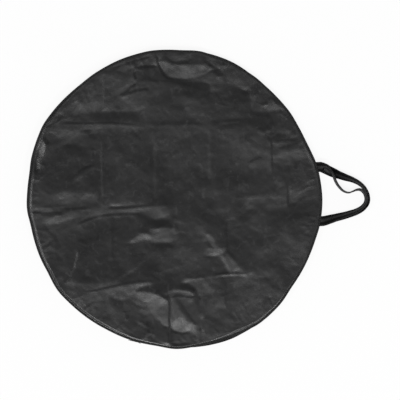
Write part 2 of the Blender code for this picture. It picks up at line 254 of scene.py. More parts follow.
# Woven tape or webbing, with ribs across its own length
def tapeMaterial(name, look):
    material, tree, shader = newMaterial(name)
    place = addNode(tree, "ShaderNodeTexCoord").outputs["UV"]
    ribs = useGroup(tree, groups["ribs"], {"Vector": place, "Ribs per metre": look["ribs"],
                                           "Lines per metre": look["lines"]})
    marks = useGroup(tree, groups["handling"],
                     {"Vector": place, "Patch scale": look["patchScale"],
                      "Scuff scale": look["scuffScale"]})
    shade = ribs["Shade"]
    if "stripes" in look:
        across = addNode(tree, "ShaderNodeSeparateXYZ", None, {0: place}).outputs[1]
        wave = mathNode(tree, "SINE",
                        mathNode(tree, "MULTIPLY", across, math.tau * look["stripes"]))
        shade = mathNode(tree, "MULTIPLY", shade, spread(tree, wave, -0.5, 0.8, 0.05, 1.0))
        feed(tree, shader, {"Coat Weight": mathNode(tree, "MULTIPLY", shade, look["coat"]),
                            "Coat Roughness": look["coatRoughness"]})
    base = mixColours(tree, shade, look["dark"], look["light"])
    worn = mixColours(tree, mathNode(tree, "MULTIPLY", marks["Scuff"], look["wear"]),
                      base, look["worn"])
    feed(tree, shader, {"Base Color": worn,
                        "Roughness": spread(tree, marks["Tone"], 0.0, 1.0, *look["roughness"]),
                        "Normal": bumpNode(tree, ribs["Height"], look["ribStrength"],
                                           look["ribDepth"]),
                        "Specular IOR Level": look["gloss"], "Sheen Weight": look["sheen"]})
    return material


# Moulded nylon or painted metal
def hardMaterial(name, look):
    material, tree, shader = newMaterial(name)
    place = addNode(tree, "ShaderNodeTexCoord").outputs["Object"]
    marks = useGroup(tree, groups["handling"],
                     {"Vector": place, "Patch scale": look["patchScale"],
                      "Scuff scale": look["scuffScale"]})
    paint = mixColours(tree, marks["Tone"], look["dark"], look["light"])
    worn = mixColours(tree, mathNode(tree, "MULTIPLY", marks["Scuff"], look["wear"]),
                      paint, look["worn"])
    feed(tree, shader, {"Base Color": worn,
                        "Roughness": spread(tree, marks["Tone"], 0.0, 1.0, *look["roughness"]),
                        "Normal": bumpNode(tree, marks["Tone"], look["grainStrength"],
                                           look["grain"]),
                        "Metallic": look["metallic"]})
    return material


panelLook = {
    "dark": (0.006, 0.006, 0.0063), "light": (0.009, 0.009, 0.0093), "scuffed": (0.06, 0.06, 0.062),
    "patchScale": 7.0, "scuffScale": 45.0, "threads": 2200.0, "crumpleScale": 28.0,
    "gapShade": 0.25, "gapColour": (0.3, 0.3, 0.3), "scuffShade": 0.10, "scuffRoughness": 0.12,
    "roughness": (0.27, 0.31), "crumpleStrength": 0.10, "crumpleDepth": 0.0012,
    "weaveStrength": 0.08, "weaveDepth": 0.0001, "gloss": 0.42, "sheen": 0.0,
    "sheenRoughness": 0.5,
}
sideLook = dict(panelLook, dark=(0.018, 0.018, 0.019), light=(0.026, 0.026, 0.027),
                roughness=(0.44, 0.55))
bindingLook = {
    "dark": (0.002, 0.002, 0.002), "light": (0.006, 0.006, 0.006), "worn": (0.03, 0.03, 0.03),
    "ribs": 1500.0, "lines": 1100.0, "wear": 0.25, "ribStrength": 0.5, "ribDepth": 0.0002,
    "patchScale": 20.0, "scuffScale": 160.0, "roughness": (0.62, 0.78), "gloss": 0.3,
    "sheen": 0.02,
}
zipTapeLook = dict(bindingLook, ribs=1250.0, lines=1250.0, dark=(0.004, 0.004, 0.0042),
                   light=(0.012, 0.012, 0.0125))
webbingLook = dict(bindingLook, ribs=620.0, lines=420.0, ribStrength=0.8, ribDepth=0.0004,
                   dark=(0.001, 0.001, 0.001), light=(0.020, 0.020, 0.020), stripes=150.0,
                   coat=0.5, coatRoughness=0.5, gloss=0.10, sheen=0.0)
threadLook = dict(bindingLook, ribs=2600.0, lines=2600.0, dark=(0.006, 0.006, 0.006),
                  light=(0.022, 0.022, 0.022), roughness=(0.4, 0.5), gloss=0.5)
coilLook = {
    "dark": (0.008, 0.008, 0.008), "light": (0.015, 0.015, 0.015), "worn": (0.03, 0.03, 0.03),
    "patchScale": 40.0, "scuffScale": 300.0, "wear": 0.2, "roughness": (0.28, 0.40),
    "grain": 0.00003, "grainStrength": 0.3, "metallic": 0.0,
}
sliderLook = {
    "dark": (0.020, 0.020, 0.021), "light": (0.034, 0.034, 0.036), "worn": (0.26, 0.26, 0.27),
    "patchScale": 90.0, "scuffScale": 420.0, "wear": 0.5, "roughness": (0.26, 0.42),
    "grain": 0.00005, "grainStrength": 0.3, "metallic": 0.75,
}

panelCloth = clothMaterial("panelNylon", panelLook, "Object")
sideCloth = clothMaterial("sideNylon", sideLook, "UV")
bindingCloth = tapeMaterial("bindingTape", bindingLook)
zipTapeCloth = tapeMaterial("zipperTape", zipTapeLook)
webbingCloth = tapeMaterial("handleWebbing", webbingLook)
threadNylon = tapeMaterial("sewingThread", threadLook)
coilNylon = hardMaterial("coilNylon", coilLook)
sliderMetal = hardMaterial("sliderPaint", sliderLook)
print("materials made")


# Outline of the bag
# Outermost edge in the photograph: angle from +X and pixels beyond the true circle
outlineWave = (
    (0, 0.6), (6, -0.1), (12, -0.7), (15, -1.2), (18, -2.4), (21, -3.2), (24, -3.8),
    (30, -3.8), (33, -3.5),
    (36, -2.9), (45, -2.9), (51, -2.4), (54, -1.7), (57, -0.9), (60, 0.0), (63, 0.8), (66, 1.6),
    (69, 2.0), (75, 2.4), (78, 2.6), (81, 2.3), (84, 1.6), (87, 1.0), (93, 1.6), (99, 2.3),
    (105, 1.8), (111, 1.6), (117, 1.0), (123, 0.6), (129, -0.1), (135, 0.4), (141, 1.2),
    (147, 2.0), (150, 2.6), (153, 2.0), (159, 1.1), (165, 0.3), (168, -0.9), (171, -1.4),
    (177, -1.3), (183, -0.7), (186, -1.2), (189, -2.4), (192, -2.7), (198, -2.5), (204, -2.2),
    (210, -2.4), (213, -1.6), (216, -0.6), (219, -0.2), (225, -0.9), (231, -1.1), (240, -1.3),
    (243, -1.4), (249, -0.9), (255, -0.6), (261, -0.5), (264, -0.3), (267, 0.8), (270, 1.9),
    (276, 1.9), (282, 2.8), (288, 3.5), (291, 3.8), (294, 3.8), (297, 3.3), (303, 3.2),
    (309, 2.4), (315, 1.6), (318, 0.8), (321, -0.5), (324, -1.1), (339, -1.1), (345, -0.7),
    (348, 0.1), (354, 0.5),
)
# Where the side of the bag shows as a dark band beyond the front panel, in pixels
sideBand = ((0, 0), (56, 0), (62, 1.4), (74, 1.7), (80, 0), (274, 0), (279, 1.6), (284, 2.7),
            (292, 2.8), (298, 1.6), (304, 0), (359, 0))

# Angles in degrees, lengths in metres. sliderLimits are two angles; every other pair says
# where a change begins and ends
rimShape = {
    "step": 0.5, "soften": 3.0, "bandSoften": 4.0, "bandSeen": 0.003,
    "lowerInset": 0.0012, "chainInset": 0.0008,
    "sliderLimits": (104.0, 256.0), "limitsStill": (4.5, 12.0),
    "toChain": (0.06, 0.30), "toUpper": (0.70, 0.94), "lifted": (0.6, 0.95),
    "liftSoften": 9.0, "liftMost": 0.003, "handlesAt": 2.0, "handlesStill": (15.0, 28.0),
}
degrees = np.arange(0.0, 360.0, rimShape["step"])


def softenWave(values, reach):
    width = int(reach / rimShape["step"])
    window = np.hanning(2 * width + 3)[1:-1]
    padded = np.concatenate([values[-width:], values, values[:width]])
    return np.convolve(padded, window / window.sum(), mode="valid")


def waveTable(pairs, soften):
    angles, shifts = zip(*pairs)
    table = np.interp(degrees, angles, shifts, period=360.0)
    return softenWave(table, soften) * photo["metresPerPixel"]


# 0 within inner degrees of an angle, 1 beyond outer
def awayFrom(angle, inner, outer):
    gap = np.abs((degrees - angle + 180.0) % 360.0 - 180.0)
    return smoothStep(inner, outer, gap)


outlineTable = waveTable(outlineWave, rimShape["soften"])
bandTable = waveTable(sideBand, rimShape["bandSoften"])
upperTable = outlineTable - bandTable
bandSeen = smoothStep(0.0, rimShape["bandSeen"], bandTable)
lowerTable = outlineTable - rimShape["lowerInset"] * (1.0 - bandSeen)
chainTable = np.minimum(upperTable, lowerTable) - rimShape["chainInset"]
for limit in rimShape["sliderLimits"]:   # there the chain stays on the true circle
    chainTable = chainTable * awayFrom(limit, *rimShape["limitsStill"])


def tableAt(table, angle):
    return np.interp(np.degrees(angle) % 360.0, degrees, table, period=360.0)


# Moves points of a true ring on to the bag's own wavy outline
def rimPlace(x, y, z):
    angle = np.arctan2(y, x)
    radius = np.hypot(x, y)
    share = np.clip(z / bag["height"], 0.0, 1.0)
    low = tableAt(lowerTable, angle)
    chain = tableAt(chainTable, angle)
    upper = tableAt(upperTable, angle)
    toChain = smoothStep(*rimShape["toChain"], share)
    toUpper = smoothStep(*rimShape["toUpper"], share)
    shift = low * (1 - toChain) + chain * toChain
    shift = shift * (1 - toUpper) + upper * toUpper
    lift = tableAt(liftTable, angle) * smoothStep(*rimShape["lifted"], share)
    return ((radius + shift) * np.cos(angle), (radius + shift) * np.sin(angle), z + lift)


# Tools for meshes
def newPiece(name, mesh, material):
    piece = bpy.data.objects.new(name, mesh)
    bpy.context.scene.collection.objects.link(piece)
    mesh.materials.clear()
    mesh.materials.append(material)
    return piece


def meshFrom(bm, name, smooth=True):
    mesh = bpy.data.meshes.new(name)
    bm.to_mesh(mesh)
    bm.free()
    if smooth:
        mesh.shade_smooth()
    return mesh


def applyModifiers(piece):
    graph = bpy.context.evaluated_depsgraph_get()
    final = bpy.data.meshes.new_from_object(piece.evaluated_get(graph))
    old = piece.data
    piece.modifiers.clear()
    piece.data = final
    bpy.data.meshes.remove(old)


def meshOfCurve(name, curve):
    holder = bpy.data.objects.new(name, curve)
    bpy.context.scene.collection.objects.link(holder)
    graph = bpy.context.evaluated_depsgraph_get()
    mesh = bpy.data.meshes.new_from_object(holder.evaluated_get(graph))
    bpy.data.objects.remove(holder)
    mesh.name = name
    return mesh


def thicken(piece, thickness):
    solid = piece.modifiers.new("clothThickness", "SOLIDIFY")
    solid.thickness = thickness
    solid.offset = 0.0
    solid.use_even_offset = True
    applyModifiers(piece)


def readPoints(mesh):
    flat = np.empty(len(mesh.vertices) * 3)
    mesh.vertices.foreach_get("co", flat)
    return flat.reshape(-1, 3)


def writePoints(mesh, points):
    mesh.vertices.foreach_set("co", points.ravel())
    mesh.update()


def profileRuns(profile):
    runs = [0.0]
    for first, second in zip(profile, profile[1:]):
        runs.append(runs[-1] + math.dist(first, second))
    return runs


# Turns a profile of (radius, height) about Z, with a UV map in metres along and across
def spinProfile(profile, startDegrees, endDegrees, steps, closed=False):
    bm = bmesh.new()
    runLayer = bm.verts.layers.float.new("acrossRun")
    uvLayer = bm.loops.layers.uv.new("UVMap")
    turn = math.radians(endDegrees - startDegrees)
    row = []
    for (radius, height), run in zip(profile, profileRuns(profile)):
        vert = bm.verts.new((radius, 0.0, height))
        vert[runLayer] = run
        row.append(vert)
    pairs = list(zip(row, row[1:])) + ([(row[-1], row[0])] if closed else [])
    edges = [bm.edges.new(pair) for pair in pairs]
    bmesh.ops.rotate(bm, cent=(0, 0, 0), verts=row,
                     matrix=Matrix.Rotation(math.radians(startDegrees), 3, "Z"))
    full = abs(abs(turn) - math.tau) < 1e-6
    bmesh.ops.spin(bm, geom=row + edges, cent=(0, 0, 0), axis=(0, 0, 1), dvec=(0, 0, 0),
                   angle=turn, steps=steps, use_merge=full)
    if closed and not full:
        rims = [edge for edge in bm.edges if len(edge.link_faces) == 1]
        bmesh.ops.holes_fill(bm, edges=rims, sides=0)
    if closed:
        bmesh.ops.recalc_face_normals(bm, faces=bm.faces)
    for face in bm.faces:
        centre = face.calc_center_median()
        middle = math.atan2(centre.y, centre.x)
        for loop in face.loops:
            angle = math.atan2(loop.vert.co.y, loop.vert.co.x)
            angle = middle + (angle - middle + math.pi) % math.tau - math.pi
            loop[uvLayer].uv = (angle * rimRadius, loop.vert[runLayer])
    return bm


# Turns every face of an open strip so that it faces away from the bag
def faceOutward(bm, outward):
    wrong = [face for face in bm.faces if face.normal.dot(outward(face.calc_center_median())) < 0]
    bmesh.ops.reverse_faces(bm, faces=wrong)


def followRim(mesh):
    points = readPoints(mesh)
    points[:, 0], points[:, 1], points[:, 2] = rimPlace(*points.T)
    writePoints(mesh, points)


def flipHeight(profile):
    return [(radius, bag["height"] - height) for radius, height in profile]


# One mesh holding a copy of a small template at each place
def copiesAt(name, template, places):
    bm = bmesh.new()
    for place in places:
        copy = template.copy()
        copy.transform(place)
        bm.from_mesh(copy)
        bpy.data.meshes.remove(copy)
    return meshFrom(bm, name)


# Frame of a stitch that runs from one point to another, its top towards a direction
def stitchFrame(first, last, up):
    along = (last - first).normalized()
    side = up.cross(along).normalized()
    place = Matrix((along, side, along.cross(side))).transposed().to_4x4()
    place.translation = (first + last) / 2
    return place


# Folds and creases of the cloth
# Scattered wrinkles: places, widths and lengths in the photograph's pixels
wrinkle = {"across": (30, 318), "down": (55, 345), "bend": 0.12, "hollows": 0.35,
           "heights": (0.4, 1.0), "widths": (0.7, 1.5), "taper": 0.4}
seamPucker = {"skew": 0.5, "inset": (2, 5), "heights": (-0.6, 1.0), "widths": (0.7, 1.4),
              "taper": 0.3}


# Heights over the bag on a square grid; places on it are given in the photograph's pixels
class Relief:
    def __init__(self, seed, reach=0.40, cells=640, firmness=0.10):
        self.reach, self.cells = reach, cells
        self.step = 2 * reach / cells
        line = -reach + self.step * (np.arange(cells) + 0.5)
        self.x, self.y = np.meshgrid(line, line, indexing="ij")
        self.px = photo["middle"][0] + self.x / photo["metresPerPixel"]
        self.py = photo["middle"][1] - self.y / photo["metresPerPixel"]
        self.height = np.zeros_like(self.x)
        self.slopeX = np.zeros_like(self.x)
        self.slopeY = np.zeros_like(self.x)
        self.firmness = np.full_like(self.x, firmness)
        self.random = np.random.default_rng(seed)

    def window(self, points, margin):
        xs, ys = zip(*points)
        lowX, highY = photoPlace(min(xs) - margin, min(ys) - margin)
        highX, lowY = photoPlace(max(xs) + margin, max(ys) + margin)
        lowI, highI, lowJ, highJ = (
            int(np.clip((value + self.reach) / self.step, 0, self.cells))
            for value in (lowX, highX, lowY, highY))
        return slice(lowI, highI + 1), slice(lowJ, highJ + 1)

    # For every cell: how far it is from a line, how far along it, and which segment is nearest
    def lineField(self, points, area):
        px, py = self.px[area], self.py[area]
        best = np.full(px.shape, 1e9)
        along = np.zeros(px.shape)
        nearest = np.zeros(px.shape, int)
        runs = profileRuns(points)
        for index, ((ax, ay), (bx, by)) in enumerate(zip(points, points[1:])):
            dx, dy = bx - ax, by - ay
            length = math.hypot(dx, dy)
            t = np.clip(((px - ax) * dx + (py - ay) * dy) / length ** 2, 0, 1)
            gap = np.hypot(px - ax - t * dx, py - ay - t * dy)
            nearer = gap < best
            best = np.where(nearer, gap, best)
            along = np.where(nearer, (runs[index] + t * length) / runs[-1], along)
            nearest = np.where(nearer, index, nearest)
        return best, along, nearest

    # A crease: sharp along its line, falling away to both sides; height in millimetres
    def ridge(self, height, width, points, taper=0.15):
        area = self.window(points, 6 * width)
        gap, along, _ = self.lineField(points, area)
        ends = smoothStep(0.0, taper, along) * smoothStep(0.0, taper, 1 - along)
        profile = np.exp(-(np.sqrt(gap ** 2 + 0.16) - 0.4) / width)   # crest rounded over 0.4
        self.height[area] += 0.001 * height * profile * ends

    # A patch whose cloth runs downhill towards a direction, in degrees from +X
    def facet(self, slope, direction, soft, points):
        area = self.window(points, 2 * soft)
        px, py = self.px[area], self.py[area]
        gap = self.lineField(points + points[:1], area)[0]
        inside = np.zeros(px.shape, bool)
        for (ax, ay), (bx, by) in zip(points, points[1:] + points[:1]):
            if ay == by:
                continue
            crosses = (ay > py) != (by > py)
            inside ^= crosses & (px < (bx - ax) * (py - ay) / (by - ay) + ax)
        turn = math.radians(direction)
        self.lean(area, -slope * math.cos(turn), -slope * math.sin(turn),
                  smoothStep(-soft, soft, np.where(inside, gap, -gap)))

    # A narrow band along a line, its cloth running downhill square to the line, towards a direction
    def stroke(self, slope, direction, width, points, taper=0.1):
        area = self.window(points, 3 * width)
        gap, along, nearest = self.lineField(points, area)
        ends = smoothStep(0.0, taper, along) * smoothStep(0.0, taper, 1 - along)
        turn = math.radians(direction)
        normals = []
        for (ax, ay), (bx, by) in zip(points, points[1:]):
            length = math.dist((ax, ay), (bx, by))
            nx, ny = (by - ay) / length, (bx - ax) / length
            side = 1 if nx * math.cos(turn) + ny * math.sin(turn) > 0 else -1
            normals.append((nx * side, ny * side))
        nx, ny = np.array(normals)[nearest].transpose(2, 0, 1)
        self.lean(area, -slope * nx, -slope * ny, np.exp(-(gap / width) ** 2) * ends)

    def lean(self, area, wantedX, wantedY, mask):
        self.slopeX[area] += (wantedX - self.slopeX[area]) * mask
        self.slopeY[area] += (wantedY - self.slopeY[area]) * mask
        self.firmness[area] = np.maximum(self.firmness[area], mask)

    # Gentle random waves between two lengths, in metres
    def undulate(self, height, longest, shortest):
        spectrum = np.fft.fft2(self.random.standard_normal(self.x.shape))
        waves = np.abs(np.hypot(*np.meshgrid(np.fft.fftfreq(self.cells, self.step),
                                             np.fft.fftfreq(self.cells, self.step),
                                             indexing="ij")))
        keep = smoothStep(0.5 / longest, 1.0 / longest, waves) * np.exp(-(waves * shortest) ** 2)
        field = np.fft.ifft2(spectrum * keep / np.maximum(waves, 0.5 / longest)).real
        self.height += field * 0.001 * height / field.std()

    # Short straight wrinkles from handling, scattered over the panel
    def handle(self, count, height, width, shortest, longest):
        for _ in range(count):
            x, y = self.random.uniform(*wrinkle["across"]), self.random.uniform(*wrinkle["down"])
            turn = self.random.uniform(0, math.pi)
            half = self.random.uniform(shortest, longest) / 2
            bend = self.random.uniform(-wrinkle["bend"], wrinkle["bend"]) * half
            dx, dy = math.cos(turn), math.sin(turn)
            points = [(x - dx * half, y - dy * half), (x - dy * bend, y + dx * bend),
                      (x + dx * half, y + dy * half)]
            sign = 1 if self.random.uniform() > wrinkle["hollows"] else -1
            self.ridge(sign * height * self.random.uniform(*wrinkle["heights"]),
                       width * self.random.uniform(*wrinkle["widths"]), points, wrinkle["taper"])

    # Short wrinkles that run in from the seam, with a length in pixels
    def pucker(self, count, height, width, shortest, longest):
        for _ in range(count):
            angle = self.random.uniform(0, math.tau)
            skew = self.random.uniform(-seamPucker["skew"], seamPucker["skew"])
            length = self.random.uniform(shortest, longest)
            inset = self.random.uniform(*seamPucker["inset"])
            radius = rimRadius / photo["metresPerPixel"] - inset
            x = photo["middle"][0] + radius * math.cos(angle)
            y = photo["middle"][1] - radius * math.sin(angle)
            turned = angle + skew
            points = [(x, y), (x - length * math.cos(turned), y + length * math.sin(turned))]
            self.ridge(height * self.random.uniform(*seamPucker["heights"]),
                       width * self.random.uniform(*seamPucker["widths"]), points,
                       seamPucker["taper"])

    # Finds the surface whose slopes are nearest to the wanted ones; plain cloth gives way first
    def settle(self, rounds=24):
        wave = 2j * math.pi * np.fft.fftfreq(self.cells, self.step)
        kx, ky = np.meshgrid(wave, wave[: self.cells // 2 + 1], indexing="ij")
        square = kx ** 2 + ky ** 2
        square[0, 0] = 1.0
        shape = np.zeros_like(square)
        for _ in range(rounds):
            missX = self.firmness * (self.slopeX - np.fft.irfft2(kx * shape, self.x.shape))
            missY = self.firmness * (self.slopeY - np.fft.irfft2(ky * shape, self.x.shape))
            step = (kx * np.fft.rfft2(missX) + ky * np.fft.rfft2(missY)) / square
            step[0, 0] = 0.0
            shape += step
        self.height += np.fft.irfft2(shape, self.x.shape)

    # Creases, then waves and wrinkles in the order in which they draw random numbers
    def crease(self, folds):
        for height, width, *points in folds["ridges"]:
            self.ridge(height, width, points)
        for amounts in folds["waves"]:
            self.undulate(*amounts)
        for amounts in folds["wrinkles"]:
            self.handle(*amounts)
        for amounts in folds["puckers"]:
            self.pucker(*amounts)

    def at(self, x, y):
        col = np.clip((x + self.reach) / self.step - 0.5, 0, self.cells - 1.001)
        row = np.clip((y + self.reach) / self.step - 0.5, 0, self.cells - 1.001)
        i, j = col.astype(int), row.astype(int)
        fx, fy = col - i, row - j
        h = self.height
        return ((h[i, j] * (1 - fx) + h[i + 1, j] * fx) * (1 - fy)
                + (h[i, j + 1] * (1 - fx) + h[i + 1, j + 1] * fx) * fy)


edgeCrowding = 1.2   # above 1, cells are smaller near the edge


# A square grid eased into the bag's round outline; gives the mesh and distances from its edge
def discMesh(name, cells, edgeTable):
    bm = bmesh.new()
    bmesh.ops.create_grid(bm, x_segments=cells, y_segments=cells, size=1.0)
    mesh = meshFrom(bm, name)
    points = readPoints(mesh)
    u, v = np.sign(points[:, :2].T) * (1 - (1 - np.abs(points[:, :2].T)) ** edgeCrowding)
    x, y = u * np.sqrt(1 - v ** 2 / 2), v * np.sqrt(1 - u ** 2 / 2)
    edge = edgeRadius + tableAt(edgeTable, np.arctan2(y, x))
    points[:, 0], points[:, 1] = x * edge, y * edge
    inset = edge * (1 - np.hypot(x, y))
    return mesh, points, inset


